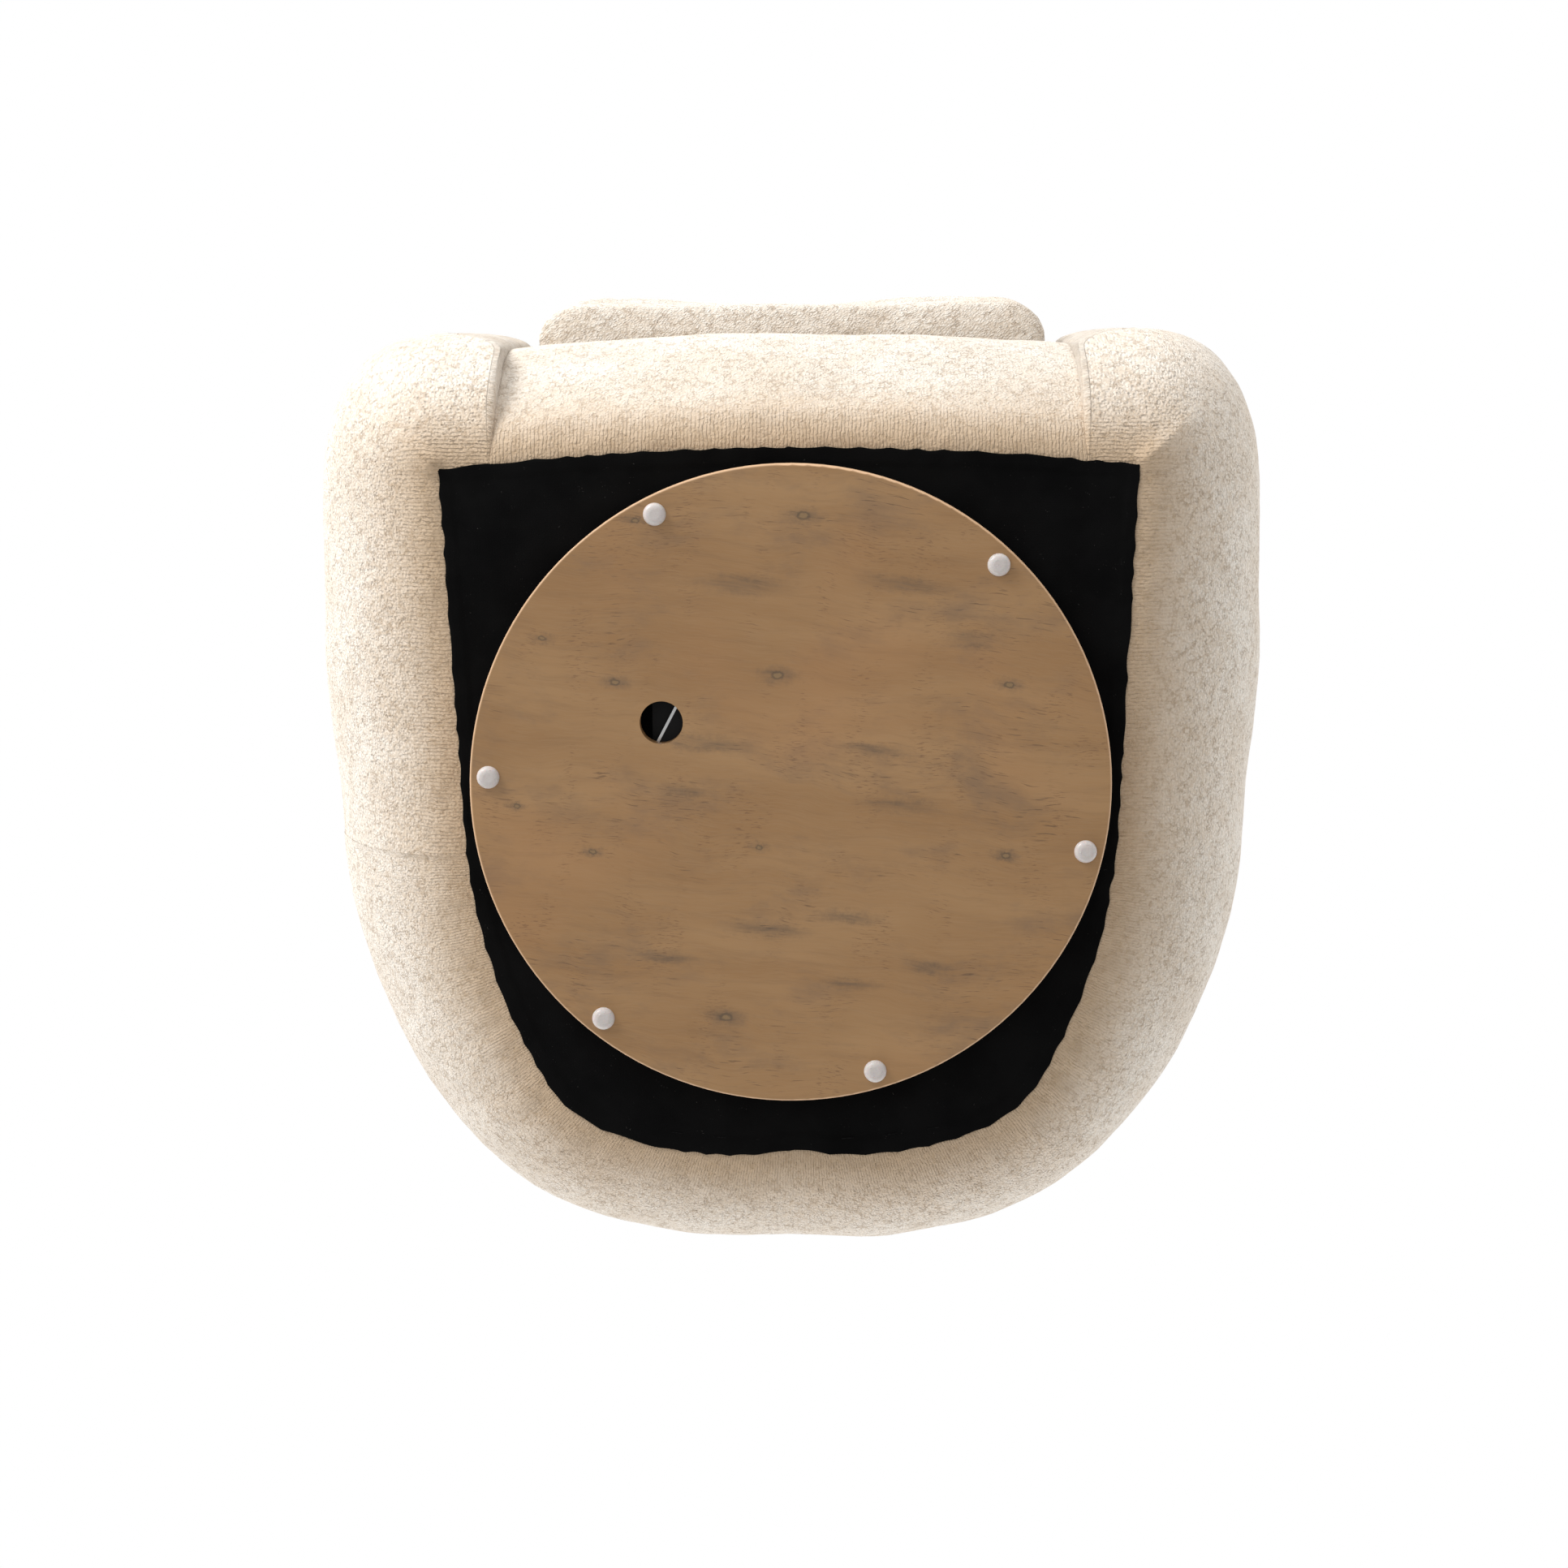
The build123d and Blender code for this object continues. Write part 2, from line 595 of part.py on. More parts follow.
def seat_plan(inset, front_y):
    """Plan of what lies in the seat well: round front corners and wide round back corners."""
    half = CUSHION_HALF_W - inset
    back_y = CUSHION_BACK_Y - inset
    with BuildSketch() as sketch:
        with Locations((0, (front_y + inset + back_y) / 2)):
            Rectangle(2 * half, back_y - front_y - inset)
        fillet(sketch.vertices().group_by(Axis.Y)[0], radius=CUSHION_FRONT_R - inset)
        fillet(sketch.vertices().group_by(Axis.Y)[-1], radius=CUSHION_BACK_R - inset)
    return sketch.sketch


with BuildPart() as seat_deck_cloth:
    with BuildSketch(Plane.XY.offset(DECK_Z)):
        add(seat_plan(1.0, SEAT_FRAME_FRONT_Y))
    extrude(amount=DECK_T)
seat_deck_cloth.part.label = "seat_deck_cloth"
export_step(seat_deck_cloth.part, "parts/seat_deck_cloth.step")

# ---- Arms and back: plywood ribs, top rails, foam and fabric.
arm_top_front = arm_section(ROOM_FRONT_Y)[6]
arm_top_rise = (arm_section(FAN_Y)[6] - arm_top_front) / (FAN_Y - ROOM_FRONT_Y)


def rib_face(section, foot, top_z):
    """The outline of a rib: a wide foot below the seat and a narrow leaning post above it."""
    inner, inner_top, outer = section[:3]
    lower_outer = outer - RIB_LOWER_INSET
    with BuildSketch() as sketch:
        with BuildLine():
            Polyline(
                (foot, RAIL_TOP_Z),
                (lower_outer, RAIL_TOP_Z),
                (lower_outer, SEAT_FRAME_Z - 0.5),
                (outer - TOP_TAPER - RIB_INSET, top_z),
                (inner_top + RIB_INSET, top_z),
                (inner + RIB_INSET, SEAT_LINE_Z),
                (inner + RIB_INSET, SEAT_FRAME_Z - 0.5),
                (foot, SEAT_FRAME_Z - 0.5),
                close=True,
            )
        make_face()
    return sketch.sketch


with BuildPart() as arm_ribs:
    for y, foot in zip(ARM_RIB_Y, ARM_RIB_FOOT):
        rail_foot_z = arm_top_front + arm_top_rise * (y - PLY_T - ROOM_FRONT_Y) - TOP_RAIL_DEPTH - TOP_RAIL_T
        with BuildSketch(section_plane(y, 0)):
            add(rib_face(arm_section(y), foot, rail_foot_z))
        extrude(amount=PLY_T)
with BuildPart() as arm_top_rail:
    rail_x = (arm_section(ROOM_FRONT_Y)[1] + arm_section(ROOM_FRONT_Y)[2] - TOP_TAPER) / 2
    rail_front_z = arm_top_front - TOP_RAIL_DEPTH
    rail_back_z = rail_front_z + arm_top_rise * (FAN_Y - ROOM_FRONT_Y)
    with BuildSketch(Plane.YZ.offset(rail_x - TOP_RAIL_W / 2)):
        with BuildLine():
            Polyline(
                (ROOM_FRONT_Y, rail_front_z),
                (FAN_Y, rail_back_z),
                (FAN_Y, rail_back_z - TOP_RAIL_T),
                (ROOM_FRONT_Y, rail_front_z - TOP_RAIL_T),
                close=True,
            )
        make_face()
    extrude(amount=TOP_RAIL_W)
with BuildPart() as arm_foam:
    add(arm_block(COVER_T + FOAM_GAP))
    add(arm_block(CAVITY_INSET, y_from=ROOM_FRONT_Y, z_from=SEAT_FRAME_Z - 5.0), mode=Mode.SUBTRACT)
    add(MID_ROOM, mode=Mode.SUBTRACT)
    add(LOW_ROOM, mode=Mode.SUBTRACT)
with BuildPart() as arm_cover:
    add(arm_block(0.0))
    add(arm_block(COVER_T), mode=Mode.SUBTRACT)
    add(LOW_ROOM, mode=Mode.SUBTRACT)
    add(HEM_WINDOW, mode=Mode.SUBTRACT)
    add(WALL_WINDOW, mode=Mode.SUBTRACT)
arm_pieces = {
    "arm_ribs": arm_ribs.part,
    "arm_top_rail": arm_top_rail.part,
    "arm_foam": arm_foam.part,
    "arm_cover": arm_cover.part,
}
for piece_name, piece in arm_pieces.items():
    with BuildPart() as left_piece:
        add(piece)
    left_piece.part.label = f"{piece_name}_left"
    export_step(left_piece.part, f"parts/{piece_name}_left.step")
    with BuildPart() as right_piece:
        mirror(piece, about=Plane.YZ)
    right_piece.part.label = f"{piece_name}_right"
    export_step(right_piece.part, f"parts/{piece_name}_right.step")

with BuildPart() as back_ribs:
    for angle, foot in zip(BACK_RIB_ANGLES, BACK_RIB_FOOT):
        with BuildSketch(section_plane(FAN_Y, angle)):
            add(rib_face(back_section(angle), foot, BACK_TOP_RAIL_Z))
        extrude(amount=PLY_T / 2, both=True)
back_ribs.part.label = "back_ribs"
export_step(back_ribs.part, "parts/back_ribs.step")

with BuildPart() as back_top_rail:
    with BuildSketch(Plane.XY.offset(BACK_TOP_RAIL_Z)):
        with BuildLine():
            rail_r = [back_section(a)[2] - TOP_TAPER - RIB_INSET - 4.0 for a in BACK_TOP_RAIL_ANGLES]
            outer_edge = Spline(*[fan_point(r, a) for r, a in zip(rail_r, BACK_TOP_RAIL_ANGLES)])
            inner_edge = Spline(
                *[fan_point(r - TOP_RAIL_W, a) for r, a in zip(rail_r, BACK_TOP_RAIL_ANGLES)]
            )
            Line(outer_edge @ 0, inner_edge @ 0)
            Line(outer_edge @ 1, inner_edge @ 1)
        make_face()
    extrude(amount=TOP_RAIL_T)
back_top_rail.part.label = "back_top_rail"
export_step(back_top_rail.part, "parts/back_top_rail.step")

with BuildPart() as back_foam:
    add(back_block(COVER_T + FOAM_GAP))
    add(back_block(CAVITY_INSET, z_from=SEAT_FRAME_Z - 5.0), mode=Mode.SUBTRACT)
    add(MID_ROOM, mode=Mode.SUBTRACT)
    add(LOW_ROOM, mode=Mode.SUBTRACT)
back_foam.part.label = "back_foam"
export_step(back_foam.part, "parts/back_foam.step")

with BuildPart() as back_cover:
    add(back_block(0.0))
    add(back_block(COVER_T), mode=Mode.SUBTRACT)
    add(HEM_WINDOW, mode=Mode.SUBTRACT)
    add(WALL_WINDOW, mode=Mode.SUBTRACT)
back_cover.part.label = "back_cover"
export_step(back_cover.part, "parts/back_cover.step")

# ---- Front panel: padding and fabric on the front rails, bowed like the bottom outline.
bow_sag = FRONT_CORNER[1] - FRONT_MID[1]
bow_radius = (FRONT_CORNER[0] ** 2 + bow_sag**2) / (2 * bow_sag)
bow_axis = Axis((0, FRONT_MID[1] + bow_radius, 0), (0, 0, 1))
half_bow_turn = 7.0
panel_back_y = FRONT_MID[1] + RAIL_SETBACK - FOAM_GAP


def panel_block(inset, back_y):
    """The bulged front panel as one solid, moved inward by inset, as far back as back_y."""
    front_y = PANEL_FRONT_Y + inset
    top_z = PANEL_TOP_Z - inset
    foot_z = HEM_Z + min(inset, HEM_T)
    foot = (FRONT_MID[1], foot_z)
    bulge = (front_y, PANEL_BULGE_Z)
    roll = (PANEL_ROLL_Y, top_z)
    with BuildSketch() as outline:
        with BuildLine():
            Line((back_y, foot_z), foot)
            Bezier(foot, (front_y + 64, foot_z), (front_y + 12, foot_z + 74), bulge)
            quarter(bulge, (front_y, top_z), roll)
            Line(roll, (back_y, top_z))
            Line((back_y, top_z), (back_y, foot_z))
        make_face()
    with BuildPart() as block:
        with BuildSketch(Plane.YZ):
            add(outline.sketch)
        revolve(axis=bow_axis, revolution_arc=half_bow_turn)
        mirror(about=Plane.YZ)
        Box(2 * (PANEL_HALF_W - inset), 2 * WIDE, 2 * WIDE, mode=Mode.INTERSECT)
    return block.part


with BuildPart() as front_panel_foam:
    add(panel_block(COVER_T + FOAM_GAP, panel_back_y))
front_panel_foam.part.label = "front_panel_foam"
export_step(front_panel_foam.part, "parts/front_panel_foam.step")

with BuildPart() as front_panel_cover:
    add(panel_block(0.0, panel_back_y))
    add(panel_block(COVER_T, panel_back_y + PLY_T), mode=Mode.SUBTRACT)
    with BuildSketch(Plane.XY.offset(HEM_Z)):
        add(outline_face(0.0))
        add(outline_face(RAIL_SETBACK + RAIL_T), mode=Mode.SUBTRACT)
        with Locations((0, PANEL_HEM_Y)):
            Rectangle(2 * PANEL_HALF_W, WIDE, align=(Align.CENTER, Align.MAX), mode=Mode.INTERSECT)
    extrude(amount=HEM_T)
front_panel_cover.part.label = "front_panel_cover"
export_step(front_panel_cover.part, "parts/front_panel_cover.step")


# ---- Seat cushion: a foam core in a zipped cover, loose on the deck.
def cushion_block(inset):
    """The seat cushion, moved inward by inset."""
    with BuildPart() as block:
        with BuildSketch(Plane.XY.offset(CUSHION_Z + inset)):
            add(seat_plan(inset, CUSHION_FRONT_Y))
        extrude(amount=CUSHION_H - 2 * inset)
        rims = block.faces().filter_by(Axis.Z).edges()
        fillet(rims, radius=CUSHION_EDGE_R - inset)
    return block.part


zip_spot = (0, CUSHION_BACK_Y, CUSHION_Z + CUSHION_H / 2)
zip_align = (Align.CENTER, Align.MAX, Align.CENTER)
with BuildPart() as seat_cushion_core:
    add(cushion_block(COVER_T + FOAM_GAP))
seat_cushion_core.part.label = "seat_cushion_core"
export_step(seat_cushion_core.part, "parts/seat_cushion_core.step")

with BuildPart() as seat_cushion_cover:
    add(cushion_block(0.0))
    add(cushion_block(COVER_T), mode=Mode.SUBTRACT)
    with Locations(zip_spot):
        Box(ZIP_L, COVER_T, ZIP_W, align=zip_align, mode=Mode.SUBTRACT)
seat_cushion_cover.part.label = "seat_cushion_cover"
export_step(seat_cushion_cover.part, "parts/seat_cushion_cover.step")

with BuildPart() as cushion_zip:
    with Locations(zip_spot):
        Box(ZIP_L - 1.0, COVER_T, ZIP_W - 0.6, align=zip_align)
cushion_zip.part.label = "cushion_zip"
export_step(cushion_zip.part, "parts/cushion_zip.step")
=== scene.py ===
"""Upholstered swivel tub chair: the looks of its pieces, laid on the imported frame."""
import math

import bmesh
import bpy
import numpy as np
from mathutils import Matrix, Vector, noise


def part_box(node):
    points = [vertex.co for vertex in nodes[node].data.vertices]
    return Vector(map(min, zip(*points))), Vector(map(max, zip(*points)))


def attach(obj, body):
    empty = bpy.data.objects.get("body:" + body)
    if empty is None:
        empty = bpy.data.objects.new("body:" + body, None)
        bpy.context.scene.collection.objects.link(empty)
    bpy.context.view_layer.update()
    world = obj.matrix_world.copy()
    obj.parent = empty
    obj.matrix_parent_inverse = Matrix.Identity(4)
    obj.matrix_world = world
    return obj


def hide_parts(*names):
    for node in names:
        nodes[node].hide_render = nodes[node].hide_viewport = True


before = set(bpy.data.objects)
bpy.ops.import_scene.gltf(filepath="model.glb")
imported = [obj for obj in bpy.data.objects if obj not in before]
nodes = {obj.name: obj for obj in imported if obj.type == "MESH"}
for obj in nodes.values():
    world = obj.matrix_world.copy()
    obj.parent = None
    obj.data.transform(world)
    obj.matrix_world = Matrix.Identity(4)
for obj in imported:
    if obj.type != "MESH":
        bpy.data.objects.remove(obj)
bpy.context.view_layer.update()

# ---------------------------------------------------------------------------------------------
# Camera. It looks up at the base board from under the front of the seat, a little to one side,
# with the front of the chair uppermost.
CAMERA_DISTANCE = 2.8
CAMERA_TILT = math.radians(7.2)
CAMERA_TURN = math.radians(6.0)
CAMERA_LENS = 79.45
CAMERA_ROLL = math.radians(0.45)
AIM = Vector((-0.0052, -0.0016, 0.005))


def bring_in(name, data):
    """A new object in the scene."""
    made = bpy.data.objects.new(name, data)
    bpy.context.scene.collection.objects.link(made)
    return made


camera_side = Vector((math.sin(CAMERA_TURN), -math.cos(CAMERA_TURN), 0)) * math.sin(CAMERA_TILT)
camera_place = AIM + (camera_side + Vector((0, 0, -math.cos(CAMERA_TILT)))) * CAMERA_DISTANCE
forward = (AIM - camera_place).normalized()
right = forward.cross(Vector((math.sin(CAMERA_ROLL), -math.cos(CAMERA_ROLL), 0))).normalized()
upward = right.cross(forward)
camera_data = bpy.data.cameras.new("camera")
camera_data.lens = CAMERA_LENS
camera_data.clip_end = 50.0
camera = bring_in("camera", camera_data)
camera_axes = Matrix((right, upward, -forward)).transposed().to_4x4()
camera.matrix_world = Matrix.Translation(camera_place) @ camera_axes
bpy.context.scene.camera = camera
bpy.context.scene.view_settings.view_transform = "Standard"

# ---------------------------------------------------------------------------------------------
# Studio. A white room, a key light from the front left, a soft light from below and one from
# above. The pale floor is seen only from above and blocks no light.
LIGHT_BELOW = 0.465
LIGHT_ABOVE = 1.58
AREA_LIGHTS = (
    # name, place, aim, side, watts, colour
    ("key_light", (-2.6, -3.0, -0.7), (0.0, 0.0, 0.25), 1.8, 124.0, (1.0, 0.99, 0.97)),
    ("under_light", (-1.2, -1.6, -3.0), (0.0, 0.0, 0.0), 2.6, 18.0, (1.0, 0.99, 0.975)),
    ("back_light", (-1.2, 3.1, -0.7), (0.0, 0.2, 0.2), 2.0, 30.0, (1.0, 0.99, 0.97)),
    ("top_light", (-1.6, -2.2, 3.2), (0.0, 0.0, 0.4), 2.4, 20.0, (1.0, 0.99, 0.975)),
)

world = bpy.data.worlds.new("studio")
bpy.context.scene.world = world
world.use_nodes = True
world_nodes = world.node_tree.nodes
world_links = world.node_tree.links
background = world_nodes["Background"]
seen = world_nodes.new("ShaderNodeBackground")
seen.inputs["Color"].default_value = (1, 1, 1, 1)
seen.inputs["Strength"].default_value = 1.0
background.inputs["Color"].default_value = (1, 0.99, 0.975, 1)
way = world_nodes.new("ShaderNodeTexCoord")
split_way = world_nodes.new("ShaderNodeSeparateXYZ")
world_links.new(way.outputs["Generated"], split_way.inputs["Vector"])
by_height = world_nodes.new("ShaderNodeMapRange")
by_height.inputs["From Min"].default_value = -0.45
by_height.inputs["From Max"].default_value = 0.15
by_height.inputs["To Min"].default_value = LIGHT_BELOW
by_height.inputs["To Max"].default_value = LIGHT_ABOVE
world_links.new(split_way.outputs["Z"], by_height.inputs["Value"])
world_links.new(by_height.outputs["Result"], background.inputs["Strength"])
ray = world_nodes.new("ShaderNodeLightPath")
mix_world = world_nodes.new("ShaderNodeMixShader")
world_links.new(ray.outputs["Is Camera Ray"], mix_world.inputs["Fac"])
world_links.new(background.outputs["Background"], mix_world.inputs[1])
world_links.new(seen.outputs["Background"], mix_world.inputs[2])
world_links.new(mix_world.outputs["Shader"], world_nodes["World Output"].inputs["Surface"])

for light_name, place, aim, side, watts, colour in AREA_LIGHTS:
    light_data = bpy.data.lights.new(light_name, "AREA")
    light_data.size = side
    light_data.energy = watts
    light_data.color = colour
    light = bring_in(light_name, light_data)
    light.location = place
    light.rotation_mode = "QUATERNION"
    light.rotation_quaternion = (Vector(aim) - Vector(place)).to_track_quat("-Z", "Y")

FLOOR_HALF = 6.0
floor_mesh = bpy.data.meshes.new("floor")
floor_mesh.from_pydata(
    [(FLOOR_HALF * x, FLOOR_HALF * y, 0) for x, y in ((-1, -1), (1, -1), (1, 1), (-1, 1))],
    [],
    [(0, 1, 2, 3)],
)
floor = bring_in("floor", floor_mesh)
floor.visible_diffuse = False
floor.visible_glossy = False
floor.visible_transmission = False
floor.visible_shadow = False
floor_paint = bpy.data.materials.new("floor_paint")
floor_paint.use_nodes = True
tree = floor_paint.node_tree
tree.nodes["Principled BSDF"].inputs["Base Color"].default_value = (0.80, 0.79, 0.77, 1)
tree.nodes["Principled BSDF"].inputs["Roughness"].default_value = 0.8
clear = tree.nodes.new("ShaderNodeBsdfTransparent")
facing = tree.nodes.new("ShaderNodeNewGeometry")
mix_floor = tree.nodes.new("ShaderNodeMixShader")
tree.links.new(facing.outputs["Backfacing"], mix_floor.inputs["Fac"])
tree.links.new(tree.nodes["Principled BSDF"].outputs["BSDF"], mix_floor.inputs[1])
tree.links.new(clear.outputs["BSDF"], mix_floor.inputs[2])
tree.links.new(mix_floor.outputs["Shader"], tree.nodes["Material Output"].inputs["Surface"])
floor_mesh.materials.append(floor_paint)


# ---------------------------------------------------------------------------------------------
# Base board. A round of 18 mm plywood faced with knotty stained veneer, its rim eased with a router so that a
# paler line of wood shows all round it, made paler still as the eased edge's painted highlight.
class Shade:
    """One material and short ways to add and join its nodes."""

    def __init__(self, name, roughness=0.6, **sockets):
        self.material = bpy.data.materials.new(name)
        self.material.use_nodes = True
        self.tree = self.material.node_tree
        self.surface = self.tree.nodes["Principled BSDF"]
        self.surface.inputs["Roughness"].default_value = roughness
        for socket, value in sockets.items():
            self.surface.inputs[socket.replace("_", " ")].default_value = value

    def add(self, kind, inputs=None, **settings):
        """A node, with its settings and inputs; an input may be a value or another node's socket."""
        node = self.tree.nodes.new("ShaderNode" + kind)
        for setting, value in settings.items():
            setattr(node, setting, value)
        for socket, value in (inputs or {}).items():
            if isinstance(value, bpy.types.NodeSocket):
                self.tree.links.new(value, node.inputs[socket])
            else:
                node.inputs[socket].default_value = value
        return node

    def place(self, stretch=(1, 1, 1), turn=0.0):
        """Object coordinates, turned about Z and stretched."""
        coordinates = self.add("TexCoord").outputs["Object"]
        sockets = {"Vector": coordinates, "Rotation": (0, 0, turn), "Scale": stretch}
        mapping = self.add("Mapping", sockets)
        return mapping.outputs["Vector"]

    def noise(self, vector, scale, detail=3.0, roughness=0.55, distortion=0.0):
        """A noise texture's value."""
        sockets = {"Vector": vector, "Scale": scale, "Detail": detail}
        sockets |= {"Roughness": roughness, "Distortion": distortion}
        return self.add("TexNoise", sockets).outputs["Fac"]

    def ramp(self, value, low, high, out_low=0.0, out_high=1.0):
        """A value stretched from one range to another, with soft ends."""
        sockets = {"Value": value, "From Min": low, "From Max": high, "To Min": out_low, "To Max": out_high}
        return self.add("MapRange", sockets, interpolation_type="SMOOTHSTEP").outputs["Result"]

    def math(self, operation, first, second=0.0):
        """Two values combined."""
        return self.add("Math", {0: first, 1: second}, operation=operation).outputs["Value"]

    def mix(self, share, first, second, blend="MIX"):
        """Two colours mixed."""
        sockets = {"Factor": share, "A": first, "B": second}
        node = self.tree.nodes.new("ShaderNodeMix")
        node.data_type = "RGBA"
        node.blend_type = blend
        for socket, place in (("Factor", 0), ("A", 6), ("B", 7)):
            value = sockets[socket]
            if isinstance(value, bpy.types.NodeSocket):
                self.tree.links.new(value, node.inputs[place])
            else:
                node.inputs[place].default_value = value
        return node.outputs[2]

    def vector(self, operation, first, second):
        """Two vectors combined."""
        return self.add("VectorMath", {0: first, 1: second}, operation=operation).outputs["Vector"]

    def wander(self, vector, scale, reach, detail=3.0, roughness=0.5):
        """A small offset that drifts over the surface, up to half of reach each way."""
        sockets = {"Vector": vector, "Scale": scale, "Detail": detail, "Roughness": roughness}
        drift = self.vector("SUBTRACT", self.add("TexNoise", sockets).outputs["Color"], (0.5, 0.5, 0.5))
        return self.vector("MULTIPLY", drift, reach)

    def bump(self, height, distance, strength=1.0, normal=None):
        """A bump of the given height in metres, laid over another if one is given."""
        sockets = {"Height": height, "Distance": distance, "Strength": strength}
        if normal is not None:
            sockets["Normal"] = normal
        return self.add("Bump", sockets).outputs["Normal"]

    def put(self, **sockets):
        """Joins sockets to the surface."""
        for socket, value in sockets.items():
            self.tree.links.new(value, self.surface.inputs[socket.replace("_", " ")])
        return self.material


def wear(node_name, material):
    """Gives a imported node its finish."""
    mesh = nodes[node_name].data
    mesh.materials.clear()
    mesh.materials.append(material)


GRAIN_TURN = math.radians(-6.0)
VENEER_BROWN = (0.325, 0.176, 0.071, 1)
VENEER_PALE = (0.405, 0.236, 0.106, 1)
VENEER_SMOKE = (0.115, 0.082, 0.058, 1)
VENEER_FLECK = (0.100, 0.056, 0.030, 1)
KNOT_RING = (0.085, 0.062, 0.042, 1)
KNOT_EYE = (0.300, 0.190, 0.090, 1)
RIM_WOOD_AND_HIGHLIGHT = (0.62, 0.40, 0.235, 1)
KNOTS = (
    # x, y, size: places on the face, in metres
    (0.012, -0.218, 1.25),
    (-0.0095, -0.090, 1.20),
    (-0.141, -0.085, 0.95),
    (-0.054, 0.190, 1.15),
    (-0.199, -0.121, 0.75),
    (0.177, -0.081, 0.90),
    (-0.026, 0.050, 0.70),
    (-0.161, 0.053, 0.70),
    (0.174, 0.058, 0.90),
    (-0.222, 0.015, 0.60),
    (-0.123, -0.215, 0.75),
)
SMUDGES = (
    # x, y, length, width
    (-0.037, -0.163, 0.055, 0.012),
    (0.094, -0.162, 0.050, 0.010),
    (0.145, -0.118, 0.030, 0.010),
    (-0.070, -0.035, 0.060, 0.010),
    (0.090, 0.017, 0.048, 0.009),
    (0.068, -0.029, 0.040, 0.008),
    (-0.024, 0.117, 0.052, 0.010),
    (0.047, 0.108, 0.040, 0.008),
    (-0.103, 0.140, 0.035, 0.009),
    (0.111, 0.150, 0.032, 0.008),
    (0.047, 0.163, 0.034, 0.007),
    (-0.083, 0.003, 0.030, 0.008),
)


def spot_group(name, middle, squash):
    """A node group: how near a point is to a stretched round spot, 1 at its middle and 0 outside."""
    group = bpy.data.node_groups.new(name, "ShaderNodeTree")
    group.interface.new_socket("Vector", in_out="INPUT", socket_type="NodeSocketVector")
    group.interface.new_socket("Centre", in_out="INPUT", socket_type="NodeSocketVector")
    group.interface.new_socket("Half Size", in_out="INPUT", socket_type="NodeSocketVector")
    group.interface.new_socket("Mask", in_out="OUTPUT", socket_type="NodeSocketFloat")
    inside = group.nodes.new("NodeGroupInput")
    outside = group.nodes.new("NodeGroupOutput")
    offset = group.nodes.new("ShaderNodeVectorMath")
    offset.operation = "SUBTRACT"
    share = group.nodes.new("ShaderNodeVectorMath")
    share.operation = "DIVIDE"
    length = group.nodes.new("ShaderNodeVectorMath")
    length.operation = "LENGTH"
    soften = group.nodes.new("ShaderNodeMapRange")
    soften.interpolation_type = "SMOOTHSTEP"
    soften.inputs["From Min"].default_value = 1.0
    soften.inputs["From Max"].default_value = middle
    power = group.nodes.new("ShaderNodeMath")
    power.operation = "POWER"
    power.inputs[1].default_value = squash
    group.links.new(inside.outputs["Vector"], offset.inputs[0])
    group.links.new(inside.outputs["Centre"], offset.inputs[1])
    group.links.new(offset.outputs["Vector"], share.inputs[0])
    group.links.new(inside.outputs["Half Size"], share.inputs[1])
    group.links.new(share.outputs["Vector"], length.inputs[0])
    group.links.new(length.outputs["Value"], soften.inputs["Value"])
    group.links.new(soften.outputs["Result"], power.inputs[0])
    group.links.new(power.outputs["Value"], outside.inputs["Mask"])
    return group


soft_spot = spot_group("soft_spot", 0.0, 1.0)
hard_spot = spot_group("hard_spot", 0.55, 1.0)


def spots(shade, vector, group, places):
    """The sum of a node group's spots at several places."""
    total = None
    for centre, half_size in places:
        spot = shade.add("Group", node_tree=group)
        shade.tree.links.new(vector, spot.inputs["Vector"])
        spot.inputs["Centre"].default_value = centre
        spot.inputs["Half Size"].default_value = half_size
        mask = spot.outputs["Mask"]
        total = mask if total is None else shade.math("MAXIMUM", total, mask)
    return total


def turned(x, y, turn=GRAIN_TURN):
    """A point of the board in the grain's own axes."""
    return (x * math.cos(turn) - y * math.sin(turn), x * math.sin(turn) + y * math.cos(turn), 0.0)


veneer = Shade("stained_veneer", roughness=0.5)
grain_axes = veneer.place(turn=GRAIN_TURN)
flat_axes = veneer.vector("MULTIPLY", grain_axes, (1, 1, 0))
warp = veneer.wander(flat_axes, 9.0, (0.03, 0.03, 0))
warped = veneer.vector("ADD", flat_axes, warp)
tatter = veneer.wander(flat_axes, 190.0, (0.022, 0.012, 0), detail=4.0, roughness=0.7)


def grain_noise(shade, vector, along, across, detail, roughness=0.6):
    """Noise drawn out along the grain."""
    stretched = shade.vector("MULTIPLY", vector, (along, across, 1))
    return shade.noise(stretched, 1.0, detail, roughness)


broad = grain_noise(veneer, warped, 3.0, 14.0, 3.0)
streaks = grain_noise(veneer, warped, 14.0, 150.0, 4.0)
fibres = grain_noise(veneer, warped, 60.0, 900.0, 3.0)
flecks = grain_noise(veneer, warped, 55.0, 620.0, 2.0, 0.5)
fleck_area = veneer.ramp(grain_noise(veneer, warped, 8.0, 16.0, 2.0), 0.46, 0.62)
colour = veneer.mix(veneer.ramp(broad, 0.3, 0.7), VENEER_BROWN, VENEER_PALE)
colour = veneer.mix(veneer.ramp(streaks, 0.45, 0.75, 0.0, 0.30), colour, (0.225, 0.128, 0.060, 1))
colour = veneer.mix(veneer.ramp(fibres, 0.35, 0.75, 0.0, 0.22), colour, (0.40, 0.265, 0.150, 1))
fleck = veneer.math("MULTIPLY", veneer.ramp(flecks, 0.60, 0.70), fleck_area)
colour = veneer.mix(veneer.math("MULTIPLY", fleck, 0.62), colour, VENEER_FLECK)
clouds = grain_noise(veneer, warped, 9.0, 17.0, 5.0, 0.68)
colour = veneer.mix(veneer.ramp(clouds, 0.48, 0.72, 0.0, 0.62), colour, (0.215, 0.135, 0.080, 1))
